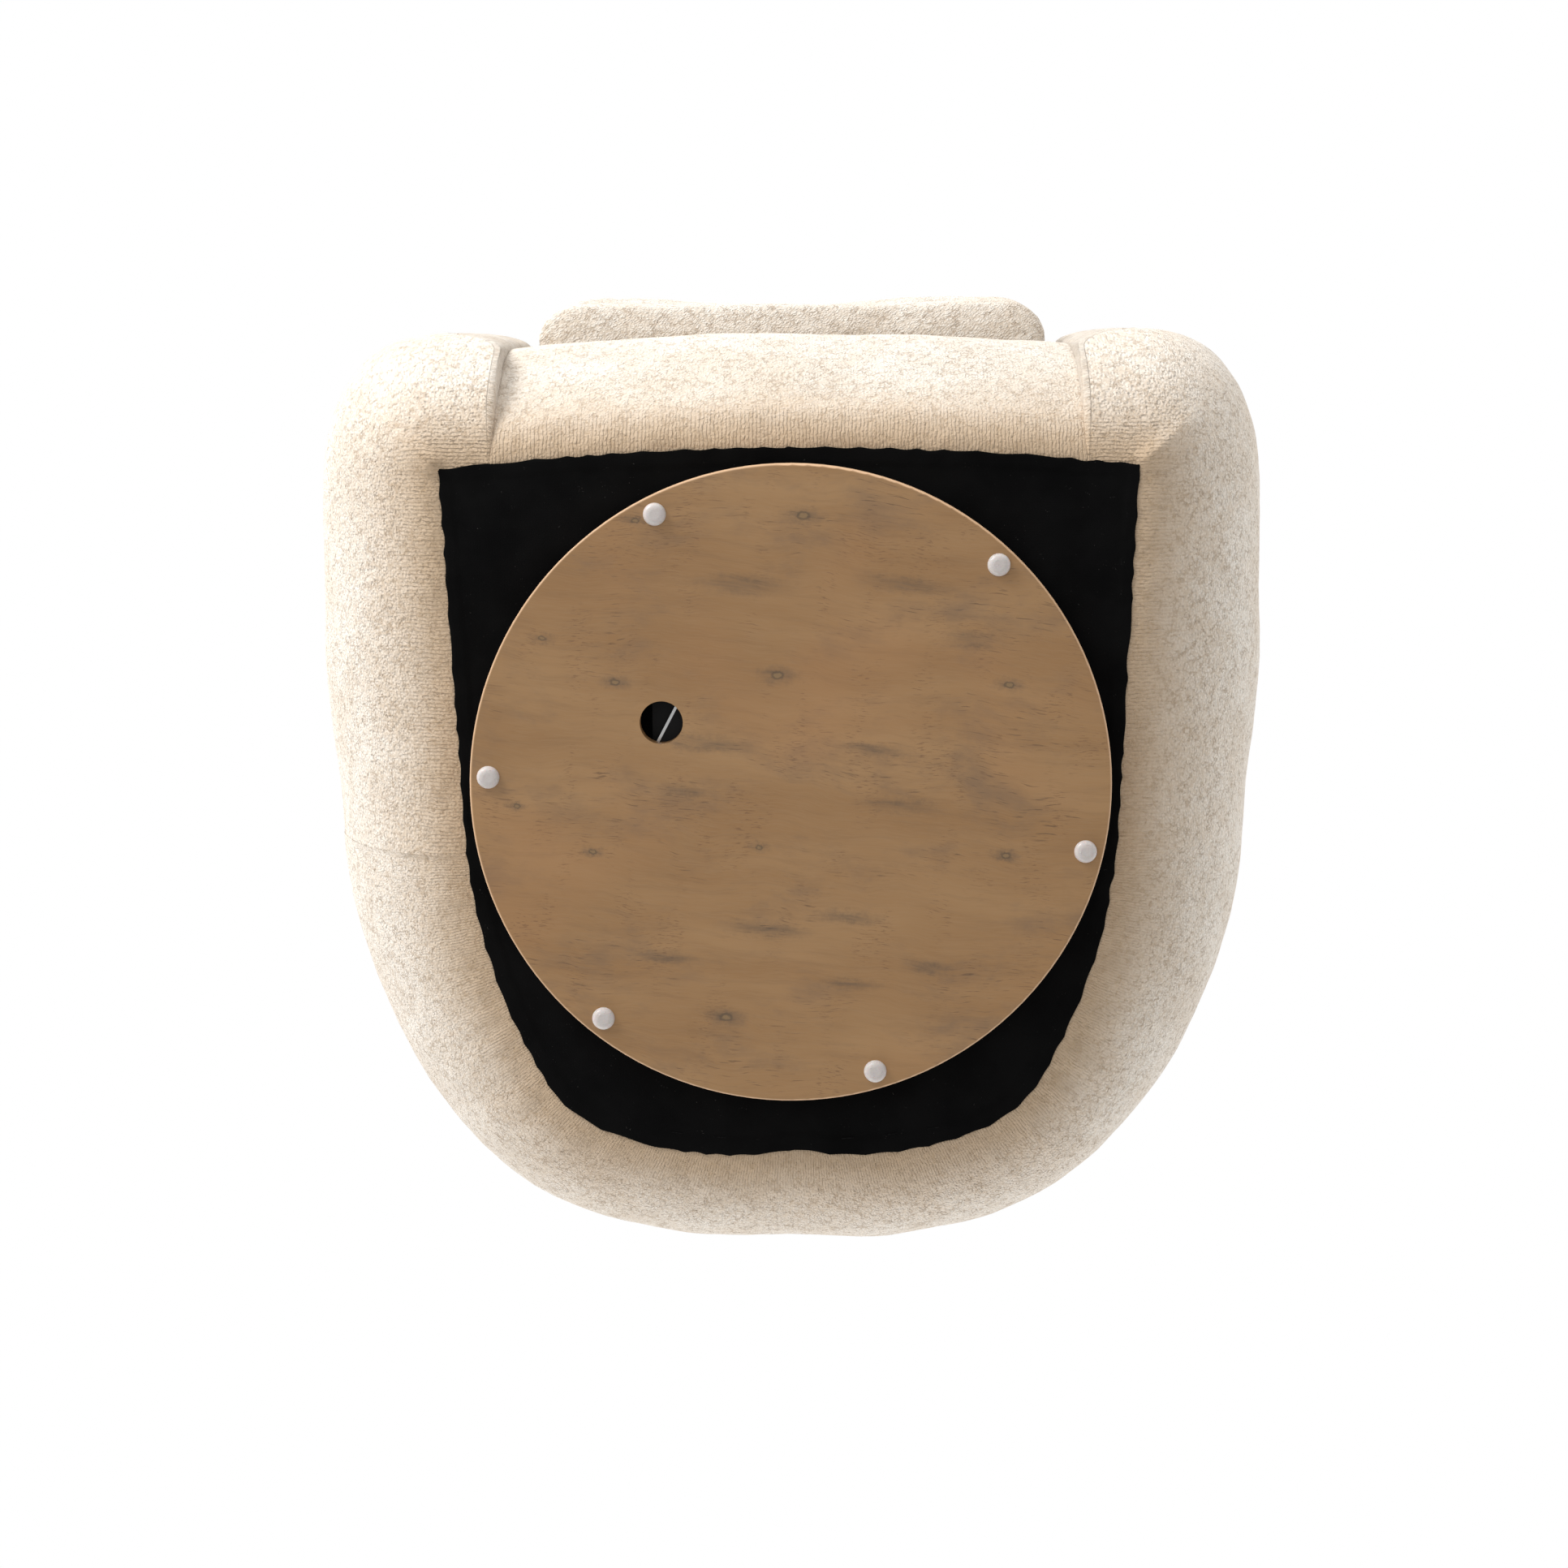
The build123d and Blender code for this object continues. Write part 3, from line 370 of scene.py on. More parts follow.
glow = grain_noise(veneer, flat_axes, 4.0, 5.0, 2.0)
colour = veneer.mix(veneer.ramp(glow, 0.50, 0.72, 0.0, 0.35), colour, (0.440, 0.225, 0.095, 1))
ticks = grain_noise(veneer, warped, 140.0, 900.0, 2.0, 0.5)
tick_area = veneer.ramp(grain_noise(veneer, warped, 26.0, 13.0, 2.0), 0.50, 0.64)
tick = veneer.math("MULTIPLY", veneer.ramp(ticks, 0.55, 0.66), tick_area)
colour = veneer.mix(veneer.math("MULTIPLY", tick, 0.46), colour, (0.140, 0.068, 0.036, 1))
smudge_places = [(turned(x, y), (length, width, 1.0)) for x, y, length, width in SMUDGES]
ragged = veneer.vector("ADD", flat_axes, tatter)
smudge = spots(veneer, ragged, soft_spot, smudge_places)
smudge_grain = veneer.ramp(streaks, 0.30, 0.70, 0.35, 1.0)
smudge = veneer.math("MULTIPLY", smudge, smudge_grain)
colour = veneer.mix(veneer.math("MULTIPLY", smudge, 0.72), colour, VENEER_SMOKE)
halo_places = [(turned(x, y), (0.020 * size, 0.0085 * size, 1.0)) for x, y, size in KNOTS]
ring_places = [(turned(x, y), (0.0056 * size, 0.0038 * size, 1.0)) for x, y, size in KNOTS]
eye_places = [(turned(x, y), (0.0036 * size, 0.0022 * size, 1.0)) for x, y, size in KNOTS]
halo = veneer.math("MULTIPLY", spots(veneer, ragged, soft_spot, halo_places), smudge_grain)
colour = veneer.mix(veneer.math("MULTIPLY", halo, 0.80), colour, VENEER_SMOKE)
ring_warp = veneer.vector("MULTIPLY", tatter, (0.28, 0.34, 0))
ring_axes = veneer.vector("ADD", flat_axes, ring_warp)
ring = spots(veneer, ring_axes, hard_spot, ring_places)
colour = veneer.mix(veneer.math("MULTIPLY", ring, 0.62), colour, KNOT_RING)
eye = spots(veneer, ring_axes, hard_spot, eye_places)
colour = veneer.mix(veneer.math("MULTIPLY", eye, 0.80), colour, KNOT_EYE)
# The eased rim and the cut edge show plain pale plies, made paler as a painted highlight all round the rim.
height = veneer.add("SeparateXYZ", {0: veneer.add("TexCoord").outputs["Object"]}).outputs["Z"]
radius = veneer.add("VectorMath", {0: flat_axes}, operation="LENGTH").outputs["Value"]
rim = veneer.ramp(radius, 0.2580, 0.2592)
ply = veneer.add("TexWave", {"Vector": veneer.place(), "Scale": 100.0}, bands_direction="Z").outputs["Fac"]
rim_colour_and_highlight = veneer.mix(veneer.ramp(ply, 0.2, 0.8, 0.0, 0.35), RIM_WOOD_AND_HIGHLIGHT, (0.42, 0.25, 0.14, 1))
colour = veneer.mix(rim, colour, rim_colour_and_highlight)
grain_height = veneer.math("ADD", veneer.math("MULTIPLY", fibres, 0.5), veneer.math("MULTIPLY", fleck, -0.8))
veneer.put(
    Base_Color=colour,
    Roughness=veneer.ramp(streaks, 0.3, 0.7, 0.46, 0.60),
    Normal=veneer.bump(grain_height, 0.00018, 0.6),
)
wear("base_board", veneer.material)

# ---------------------------------------------------------------------------------------------
# Glides. Six nail-on domes of off-white nylon, moulded round a nail head and hammered in by
# hand, with faint scuffs on their crowns.
NYLON_WHITE = (0.62, 0.575, 0.56, 1)
NYLON_SCUFF = (0.50, 0.45, 0.43, 1)

nylon = Shade("glide_nylon", roughness=0.36, IOR=1.5, Subsurface_Weight=0.12, Subsurface_Scale=0.002)
scuffs = nylon.noise(nylon.place(), 900.0, 4.0, 0.65)
dents = nylon.noise(nylon.place(), 420.0, 1.0, 0.5)
nylon.put(
    Base_Color=nylon.mix(nylon.ramp(scuffs, 0.45, 0.75, 0.0, 0.5), NYLON_WHITE, NYLON_SCUFF),
    Roughness=nylon.ramp(scuffs, 0.4, 0.7, 0.30, 0.5),
    Normal=nylon.bump(nylon.ramp(dents, 0.62, 0.75), 0.0004, 0.6),
)
wear("glide_caps", nylon.material)


# ---------------------------------------------------------------------------------------------
# Metal. Nails, screws, staples, balls, clips and springs are zinc-plated or oiled steel wire;
# the two swivel plates are black-painted sheet with bare sheared edges.
def plated(name, base, dark, roughness, scale):
    """A plated metal with uneven brightness."""
    shade = Shade(name, roughness=roughness, Metallic=1.0)
    cloud = shade.noise(shade.place(), scale, 4.0, 0.6)
    shade.put(
        Base_Color=shade.mix(shade.ramp(cloud, 0.35, 0.7), base, dark),
        Roughness=shade.ramp(cloud, 0.3, 0.7, roughness, roughness + 0.2),
        Normal=shade.bump(cloud, 0.00005, 0.5),
    )
    return shade.material


zinc = plated("zinc_plate", (0.66, 0.67, 0.68, 1), (0.48, 0.48, 0.47, 1), 0.28, 300.0)
for node_name in ("glide_nails", "lower_plate_screws", "upper_plate_screws", "bearing_balls"):
    wear(node_name, zinc)
wear("spring_clips", zinc)
spring_steel = plated("spring_steel", (0.30, 0.30, 0.31, 1), (0.18, 0.17, 0.16, 1), 0.35, 180.0)
wear("seat_springs", spring_steel)
staple_wire = plated("staple_wire", (0.020, 0.020, 0.021, 1), (0.008, 0.008, 0.008, 1), 0.6, 400.0)
wear("dust_cover_staples", staple_wire)

PLATE_HALF = 0.1125
LOWER_PLATE_TURN = math.radians(28.0)

plate_paint = Shade("black_plate_paint", roughness=0.5, Specular_IOR_Level=0.2)
face_way = plate_paint.add("NewGeometry").outputs["True Normal"]
side_face = plate_paint.add("SeparateXYZ", {0: face_way}).outputs["Z"]
sheared = plate_paint.ramp(plate_paint.math("ABSOLUTE", side_face), 0.6, 0.3)
dulling = plate_paint.ramp(plate_paint.noise(plate_paint.place(), 350.0), 0.3, 0.5, 0.7, 1.0)
sheared = plate_paint.math("MULTIPLY", sheared, dulling)
turned_plate = plate_paint.place(turn=-LOWER_PLATE_TURN)
unsigned = plate_paint.add("VectorMath", {0: turned_plate}, operation="ABSOLUTE").outputs["Vector"]
off_centre = plate_paint.add("SeparateXYZ", {0: unsigned})
off_centre = plate_paint.math("MAXIMUM", off_centre.outputs["X"], off_centre.outputs["Y"])
border = plate_paint.ramp(off_centre, PLATE_HALF - 0.0024, PLATE_HALF - 0.0020)
plate_z = plate_paint.add("SeparateXYZ", {0: plate_paint.add("TexCoord").outputs["Object"]}).outputs["Z"]
border = plate_paint.math("MULTIPLY", border, plate_paint.ramp(plate_z, 0.0265, 0.0260))
sheared = plate_paint.math("MAXIMUM", sheared, border)
orange_peel = plate_paint.noise(plate_paint.place(), 700.0, 2.0, 0.5)
plate_paint.put(
    Base_Color=plate_paint.mix(sheared, (0.006, 0.006, 0.007, 1), (0.80, 0.81, 0.82, 1)),
    Metallic=sheared,
    Roughness=plate_paint.ramp(sheared, 0.0, 1.0, 0.42, 0.26),
    Normal=plate_paint.bump(orange_peel, 0.00005, 0.5),
)
wear("lower_swivel_plate", plate_paint.material)
wear("upper_swivel_plate", plate_paint.material)

cage_plastic = Shade("cage_plastic", roughness=0.55)
cage_cloud = cage_plastic.noise(cage_plastic.place(), 240.0, 3.0)
cage_plastic.put(
    Base_Color=cage_plastic.mix(cage_cloud, (0.030, 0.030, 0.032, 1), (0.055, 0.054, 0.052, 1)),
    Normal=cage_plastic.bump(cage_cloud, 0.00006, 0.6),
)
wear("ball_cage", cage_plastic.material)

# ---------------------------------------------------------------------------------------------
# Frame. Sawn pine rails and posts with plywood ribs, glued and stapled, and hidden for good by
# the upholstery.
PINE_SAPWOOD = (0.56, 0.38, 0.21, 1)
PINE_RING = (0.40, 0.24, 0.12, 1)
PINE_FIBRE = (0.66, 0.49, 0.30, 1)

timber = Shade("frame_timber", roughness=0.75)
timber_axes = timber.place(stretch=(40.0, 40.0, 6.0))
timber_rings = timber.noise(timber_axes, 1.0, 4.0, 0.6, 0.8)
timber_fibre = timber.noise(timber.place(stretch=(400.0, 400.0, 60.0)), 1.0, 2.0)
timber_colour = timber.mix(timber.ramp(timber_rings, 0.35, 0.65), PINE_SAPWOOD, PINE_RING)
timber.put(
    Base_Color=timber.mix(timber.ramp(timber_fibre, 0.4, 0.8, 0.0, 0.4), timber_colour, PINE_FIBRE),
    Normal=timber.bump(timber_fibre, 0.0002, 0.6),
)
FRAME_PIECES = (
    "bottom_front_rail", "bottom_rail_left", "bottom_rail_right", "bottom_back_rail", "swivel_rail_left",
    "swivel_rail_right", "corner_blocks", "front_posts", "seat_front_rail", "seat_rail_left",
    "seat_rail_right", "seat_back_rail", "arm_ribs_left", "arm_ribs_right", "arm_top_rail_left",
    "arm_top_rail_right", "back_ribs", "back_top_rail",
)
for node_name in FRAME_PIECES:
    wear(node_name, timber.material)


# ---------------------------------------------------------------------------------------------
# Arms and back. Foam and fibre over the ribs, covered in cream chenille that is pulled round
# the rolls, wrapped under the bottom rails and stapled there; one band from arm to arm.
def smoothstep(low, high, value):
    """0 below low, 1 above high, and a soft step between them."""
    share = np.clip((np.asarray(value, float) - low) / (high - low), 0, 1)
    return share * share * (3 - 2 * share)


def smooth_curve(places, values, wanted):
    """A smooth curve through points that never swings past them."""
    places = np.asarray(places, float)
    values = np.asarray(values, float)
    gaps = np.diff(places)
    rises = np.diff(values) / gaps
    slopes = np.zeros_like(values)
    same_way = rises[:-1] * rises[1:] > 0
    weight_a = 2 * gaps[1:] + gaps[:-1]
    weight_b = gaps[1:] + 2 * gaps[:-1]
    with np.errstate(divide="ignore", invalid="ignore"):
        mean = (weight_a + weight_b) / (weight_a / rises[:-1] + weight_b / rises[1:])
    slopes[1:-1] = np.where(same_way, mean, 0.0)
    index = np.clip(np.searchsorted(places, wanted) - 1, 0, len(gaps) - 1)
    t = (wanted - places[index]) / gaps[index]
    h00 = 2 * t**3 - 3 * t**2 + 1
    h10 = t**3 - 2 * t**2 + t
    h01 = -2 * t**3 + 3 * t**2
    h11 = t**3 - t**2
    return (
        h00 * values[index] + h10 * gaps[index] * slopes[index]
        + h01 * values[index + 1] + h11 * gaps[index] * slopes[index + 1]
    )


# The bottom outline, a D with a bowed front and a rounded back, where the cloth turns under.
CORNER_X = 0.285
CORNER_Y = -0.257
FRONT_Y = -0.273
BOW_R = 2.546
SIDE_END = (0.2690, 0.0400)
SHOULDER = (0.2050, 0.2500)
BACK_CORNER = (0.1580, 0.2910)
BACK_Y = 0.3086


def bow(x):
    """How far the bottom outline's bowed front falls back at x."""
    return BOW_R - math.sqrt(BOW_R**2 - x**2)


def swung(way, turn):
    """A direction turned clockwise."""
    return Vector((
        way.x * math.cos(turn) + way.y * math.sin(turn),
        way.y * math.cos(turn) - way.x * math.sin(turn),
    ))


def arc_points(start, start_way, end, steps):
    """Points along the arc that leaves start in one direction and ends at end."""
    chord = Vector(end) - Vector(start)
    way = Vector(start_way).normalized()
    half_turn = way.angle_signed(chord)
    places = []
    for step in range(steps):
        share = step / steps
        if abs(half_turn) < 1e-6:
            places.append(Vector(start) + chord * share)
            continue
        reach = chord.length * math.sin(half_turn * share) / math.sin(half_turn)
        turn = half_turn * share
        places.append(Vector(start) + swung(way, turn) * reach)
    return places, swung(way, 2 * half_turn)


side_way = Vector(SIDE_END) - Vector((CORNER_X, CORNER_Y))
half_line = [Vector((x, FRONT_Y + bow(x))) for x in np.linspace(0, CORNER_X, 60, endpoint=False)]
side_shares = np.linspace(0, 1, 60, endpoint=False)
half_line += [Vector((CORNER_X, CORNER_Y)) + side_way * share for share in side_shares]
flank, flank_way = arc_points(SIDE_END, side_way, SHOULDER, 50)
shoulder_line, shoulder_way = arc_points(SHOULDER, flank_way, BACK_CORNER, 20)
back_line, _ = arc_points(BACK_CORNER, shoulder_way, (0.0, BACK_Y), 50)
half_line += flank + shoulder_line + back_line + [Vector((0.0, BACK_Y))]
outline = np.array([(p.x, p.y) for p in half_line] + [(-p.x, p.y) for p in half_line[-2:0:-1]])

FAN_Y = 0.060
HEM_Z = 0.0360
NOSE_Y = -0.366
NOSE_X = 0.293
OUTER_TURN_Y = -0.200
INNER_TURN_Y = -0.351
UNDER_TURN_Y = -0.257
NOSE_RISE = 0.199
TOP_TURN_Y = -0.285
SEAT_Z = 0.440
ROLL_H = 0.076
NOSE_ROUND = 2.2
OUTER_ROUND = 2.8
HEM_FADE = 0.060
# Wall sizes along the path from the arm's front to the middle of the back. The path is measured
# in radians: an arm's Y less FAN_Y over PATH_R, and then the angle of the fan.
PATH_R = 0.390
WALL_PATH = [(y - 0.060) / 0.390 for y in (-0.300, -0.257, -0.120)] + [
    math.radians(angle) for angle in (0, 15, 30, 45, 60, 75, 90, 105, 120)
]


def both_ways(values):
    """Repeats the last values in reverse, so that a curve is level at the middle of the back."""
    return values + values[-2:-4:-1]


WALL_INNER = both_ways([0.2405, 0.2405, 0.2405, 0.2405, 0.239, 0.216, 0.169, 0.139, 0.1245, 0.120])
WALL_INNER_TOP = both_ways([0.243, 0.244, 0.244, 0.247, 0.248, 0.238, 0.217, 0.201, 0.192, 0.189])
WALL_OUTER = both_ways([0.4025, 0.4030, 0.4035, 0.3910, 0.3870, 0.3855, 0.3850, 0.3760, 0.3590, 0.3480])
WALL_TOP = both_ways([0.5900, 0.5940, 0.6045, 0.6275, 0.6440, 0.6640, 0.6840, 0.7020, 0.7140, 0.7185])
BULGE_Z = 0.232
BACK_BULGE_Z = 0.165
SECTION_STEPS = (8, 64, 86, 44, 44, 56, 26, 12)

half_outline = np.array([(p.x, p.y) for p in half_line])
fan_part = half_outline[half_outline[:, 1] >= FAN_Y - 1e-6]
fan_angle = np.arctan2(fan_part[:, 1] - FAN_Y, fan_part[:, 0])
fan_reach = np.hypot(fan_part[:, 0], fan_part[:, 1] - FAN_Y)
side_part = half_outline[60:112]


def hem_reach(fold, y):
    """How far out the bottom outline lies at each place along the wall's path."""
    side = np.interp(y, side_part[:, 1], side_part[:, 0])
    return np.where(fold > 0, np.interp(fold, fan_angle, fan_reach), side)


def hem_nearness(points):
    """1 at the bottom outline, falling away over the first few centimetres of cloth; it sets the painted
    shade and the ribbing near the hem.
    """
    flat = points.reshape(-1, 3)
    thin = outline[::3]
    gap = np.full(len(flat), 1e9)
    for x, y in thin:
        gap = np.minimum(gap, (flat[:, 0] - x) ** 2 + (flat[:, 1] - y) ** 2)
    gap = np.sqrt(gap + (flat[:, 2] - HEM_Z) ** 2)
    return np.exp(-gap / HEM_FADE).reshape(points.shape[:-1])


def nose_share(start_y, y, roundness):
    """How far a wall has closed towards the arm's nose: 1 before start_y, 0 at the nose."""
    share = np.clip((start_y - y) / (start_y - NOSE_Y), 0, 1)
    return (1 - share**roundness) ** (1 / roundness)


def wall_sizes(path):
    """Every size of the wall's section at each place on the path, as arrays."""
    fold = np.where(path > math.pi / 2, math.pi - path, path)
    y = FAN_Y + np.minimum(fold, 0) * PATH_R
    inner, inner_top, outer, top = (
        smooth_curve(WALL_PATH, values, np.maximum(fold, WALL_PATH[0]))
        for values in (WALL_INNER, WALL_INNER_TOP, WALL_OUTER, WALL_TOP)
    )
    bottom = hem_reach(fold, y)
    outer_share = nose_share(OUTER_TURN_Y, y, OUTER_ROUND)
    inner_share = nose_share(INNER_TURN_Y, y, NOSE_ROUND)
    under_share = np.sqrt(1 - np.clip((UNDER_TURN_Y - y) / (UNDER_TURN_Y - NOSE_Y), 0, 1) ** 2)
    top_share = nose_share(TOP_TURN_Y, y, NOSE_ROUND)
    inner = NOSE_X - (NOSE_X - inner) * inner_share
    inner_top = NOSE_X - (NOSE_X - inner_top) * inner_share
    outer = NOSE_X + (outer - NOSE_X) * outer_share
    under = HEM_Z + NOSE_RISE * (1 - under_share)
    top = top - 0.095 * (1 - top_share)
    bottom = np.minimum(bottom, inner + 0.62 * (outer - inner))
    bulge = BULGE_Z + (BACK_BULGE_Z - BULGE_Z) * smoothstep(0.2, 1.5, fold) + 0.065 * (1 - under_share)
    corner = 0.003 + 0.003 * smoothstep(UNDER_TURN_Y, UNDER_TURN_Y - 0.06, y) * inner_share
    return y, inner, inner_top, outer, bottom, under, bulge, top, corner


def bend(start, corner, end, steps):
    """Points along a round bend between two places whose tangents meet at corner."""
    t = np.linspace(0, 1, steps, endpoint=False)[None, :, None]
    round_share = 0.5523
    first = start + (corner - start) * round_share
    second = end + (corner - end) * round_share
    start, first, second, end = (a[:, None, :] for a in (start, first, second, end))
    return (1 - t) ** 3 * start + 3 * (1 - t) ** 2 * t * first + 3 * (1 - t) * t**2 * second + t**3 * end


def wall_points(path):
    """The wall's surface as a grid: one closed section, (outward, height), for each place on the path."""
    y, inner, inner_top, outer, bottom, under, bulge, top, corner = wall_sizes(path)
    outer_top = inner_top + (outer - inner_top) * 0.975
    middle = (inner_top + outer_top) / 2
    roll = top - ROLL_H * (0.25 + 0.75 * np.clip((outer - inner) / 0.12, 0, 1))

    def at(outward, height):
        return np.stack([outward, height], axis=-1)

    belly = np.stack([np.full_like(outer, 0.004), np.zeros_like(outer)], axis=-1)
    side_mid = (at(outer, bulge) + at(outer_top, roll)) / 2 + belly
    at_seat = at(inner, np.full_like(roll, SEAT_Z))
    face_mid = (at(inner_top, roll) + at_seat) / 2
    tuck_mid = at(inner, (SEAT_Z + under + corner) / 2)
    under_mid = at((inner + corner + bottom) / 2, under)
    parts = (
        bend(at(inner + corner, under), under_mid, at(bottom, under), SECTION_STEPS[0]),
        bend(at(bottom, under), at(outer, under), at(outer, bulge), SECTION_STEPS[1]),
        bend(at(outer, bulge), side_mid, at(outer_top, roll), SECTION_STEPS[2]),
        bend(at(outer_top, roll), at(outer_top, top), at(middle, top), SECTION_STEPS[3]),
        bend(at(middle, top), at(inner_top, top), at(inner_top, roll), SECTION_STEPS[4]),
        bend(at(inner_top, roll), face_mid, at_seat, SECTION_STEPS[5]),
        bend(at_seat, tuck_mid, at(inner, under + corner), SECTION_STEPS[6]),
        bend(at(inner, under + corner), at(inner, under), at(inner + corner, under), SECTION_STEPS[7]),
    )
    return y, np.concatenate(parts, axis=1)


def surface_normals(grid):
    """Outward normals of a grid of points that is closed across its second axis."""
    along = np.gradient(grid, axis=0)
    around = (np.roll(grid, -1, axis=1) - np.roll(grid, 1, axis=1)) / 2
    normals = np.cross(around, along)
    lengths = np.linalg.norm(normals, axis=-1, keepdims=True)
    return normals / np.maximum(lengths, 1e-12)


def ripple(grid, scale, seed):
    """Soft noise over a grid of points, about -1 to 1."""
    flat = grid.reshape(-1, 3) * scale + seed
    values = np.fromiter((noise.noise(Vector(point)) for point in flat), float, len(flat))
    return values.reshape(grid.shape[:-1])


def closed_mesh(name, grid, cloth):
    """A solid from a grid closed across its second axis, with both ends capped by fans."""
    rows, columns = grid.shape[:2]
    index = np.arange(rows * columns).reshape(rows, columns)
    nearer = index[:-1]
    further = index[1:]
    quads = np.stack([nearer, np.roll(nearer, -1, axis=1), np.roll(further, -1, axis=1), further], axis=-1)
    points = grid.reshape(-1, 3)
    caps = []
    for row, middle, way in ((index[0], rows * columns, 1), (index[-1], rows * columns + 1, -1)):
        after = np.roll(row, -1)
        caps += [(middle, b, a) if way == 1 else (middle, a, b) for a, b in zip(row.tolist(), after.tolist())]
    ends = np.stack([grid[0].mean(axis=0), grid[-1].mean(axis=0)])
    mesh = bpy.data.meshes.new(name)
    mesh.from_pydata(np.concatenate([points, ends]).tolist(), [], quads.reshape(-1, 4).tolist() + caps)
    mesh.polygons.foreach_set("use_smooth", [True] * len(mesh.polygons))
    ends_of = np.empty(len(mesh.edges) * 2, dtype=np.int32)
    mesh.edges.foreach_get("vertices", ends_of)
    row_of = ends_of.reshape(-1, 2) // columns
    rim = (row_of[:, 0] == row_of[:, 1]) & ((row_of[:, 0] == 0) | (row_of[:, 0] == rows - 1))
    mesh.attributes.new("sharp_edge", "BOOLEAN", "EDGE").data.foreach_set("value", rim)
    laid = mesh.attributes.new("cloth", "FLOAT_VECTOR", "POINT")
    laid.data.foreach_set("vector", np.concatenate([cloth.reshape(-1, 3), np.zeros((2, 3))]).ravel())
    mesh.validate()
    mesh.update()
    return bring_in(name, mesh)


DART_WAY = Vector((0.78, -0.62, 0)).normalized()
DART_LENGTH = 0.075
DART_WIDTH = 0.0075
DART_DEPTH = 0.0065
GATHER_PITCH = 0.026
SEAM_ANGLE = math.radians(17)


def upholster(name, path, mirrored, spare_start, spare_end):
    """One stretch of the padded wall, with its gathers, dart, seams and soft unevenness."""
    step = path[-1] - path[-2]
    path = np.concatenate([[path[0] - step] * spare_start, path, [path[-1] + step] * spare_end])
    y, section = wall_points(path)
    outward, height = section[..., 0], section[..., 1]
    angle = np.clip(path, 0, math.pi)[:, None]
    grid = np.stack(
        [outward * np.cos(angle), y[:, None] + outward * np.sin(angle), height], axis=-1
    )
    normals = surface_normals(grid)
    steps = np.linalg.norm(np.diff(grid, axis=1, prepend=grid[:, :1]), axis=-1)
    girth = np.cumsum(steps, axis=1) - (np.cumsum(steps, axis=1)[:, SECTION_STEPS[0]])[:, None]
    run = np.broadcast_to((path * PATH_R)[:, None], girth.shape)
    fold = np.where(path > math.pi / 2, math.pi - path, path)[:, None]
    at_corner = np.exp(-(((fold - 0.82) / 0.30) ** 2))
    drift = ripple(np.stack([run * 9, girth * 6, np.zeros_like(run)], axis=-1), 1.0, 7.7) * 0.35
    gather = ripple(np.stack([run / GATHER_PITCH + drift, girth * 5, np.zeros_like(run)], axis=-1), 1.0, 3.1)
    reach = np.exp(-np.clip(girth, 0, None) / (0.040 + 0.055 * at_corner))
    lift = gather * reach * (0.0016 + 0.0022 * at_corner) * smoothstep(0, 0.008, girth)
    lift += ripple(grid, 9.0, 11.0) * 0.0022
    lift += ripple(grid, 26.0, 5.0) * 0.0009
    lift += ripple(grid, 70.0, 2.0) * 0.00035
    lift *= np.maximum(smoothstep(-0.001, 0.014, girth), smoothstep(HEM_Z + 0.001, HEM_Z + 0.022, height))
    past_roll = np.arange(section.shape[1])[None, :] > sum(SECTION_STEPS[:4]) - 20
    inside = smoothstep(0.30, 0.36, height) * past_roll
    seam = np.exp(-(((fold - SEAM_ANGLE) * 0.22 / 0.0055) ** 2)) * inside
    lift -= seam * 0.0045
    side = np.stack([grid[..., 0] - CORNER_X, grid[..., 1] - CORNER_Y], axis=-1)
    along_dart = side[..., 0] * DART_WAY.x + side[..., 1] * DART_WAY.y
    across_dart = side[..., 0] * DART_WAY.y - side[..., 1] * DART_WAY.x
    dart = np.exp(-((across_dart / DART_WIDTH) ** 2)) * smoothstep(-0.004, 0.006, along_dart)
    dart *= smoothstep(DART_LENGTH, 0.0, along_dart) * smoothstep(0.19, 0.12, height)
    lift -= dart * DART_DEPTH
    kept = slice(spare_start, len(path) - spare_end)
    grid = (grid + normals * lift[..., None])[kept]
    run, girth, hem = run[kept], girth[kept], hem_nearness(grid)
    if mirrored:
        grid = grid[::-1] * np.array([-1.0, 1.0, 1.0])
        run, girth, hem = run[::-1], girth[::-1], hem[::-1]
        run = math.pi * PATH_R - run
    return closed_mesh(name, grid, np.stack([run, girth, hem], axis=-1))


ARM_ROWS = 168
BACK_ROWS = 280
nose_path = (NOSE_Y - FAN_Y) / PATH_R
# Rows stand closer together over the nose, where the wall turns fastest.
NOSE_CLOSE_IN = 0.13
close_in = 1 - np.cos(np.linspace(0.04, math.pi / 2, 34))
arm_path = np.concatenate([
    nose_path + NOSE_CLOSE_IN * close_in[:-1],
    np.linspace(nose_path + NOSE_CLOSE_IN, 0.0, ARM_ROWS - len(close_in) + 1),
])
back_path = np.linspace(0.0, math.pi, BACK_ROWS)

left_arm = upholster("left_arm_upholstery", arm_path, False, 0, 1)
right_arm = upholster("right_arm_upholstery", arm_path, True, 0, 1)
back = upholster("back_upholstery", back_path, False, 1, 1)


CREAM_DEEP = (0.770, 0.692, 0.605, 1)
CREAM_PALE = (0.865, 0.815, 0.750, 1)
CREAM_NUB = (0.90, 0.87, 0.81, 1)
# Painted shade colours for the low cracks and the partings of the pile.
CREAM_CRACK_SHADE = (0.500, 0.390, 0.275, 1)
CREAM_PARTING_SHADE = (0.360, 0.250, 0.155, 1)
# The colour of the painted shade on the cloth near the hem.
CREAM_PAINTED_SHADE_AT_HEM = (0.550, 0.395, 0.250, 1)
RIB_PITCH = 0.0031


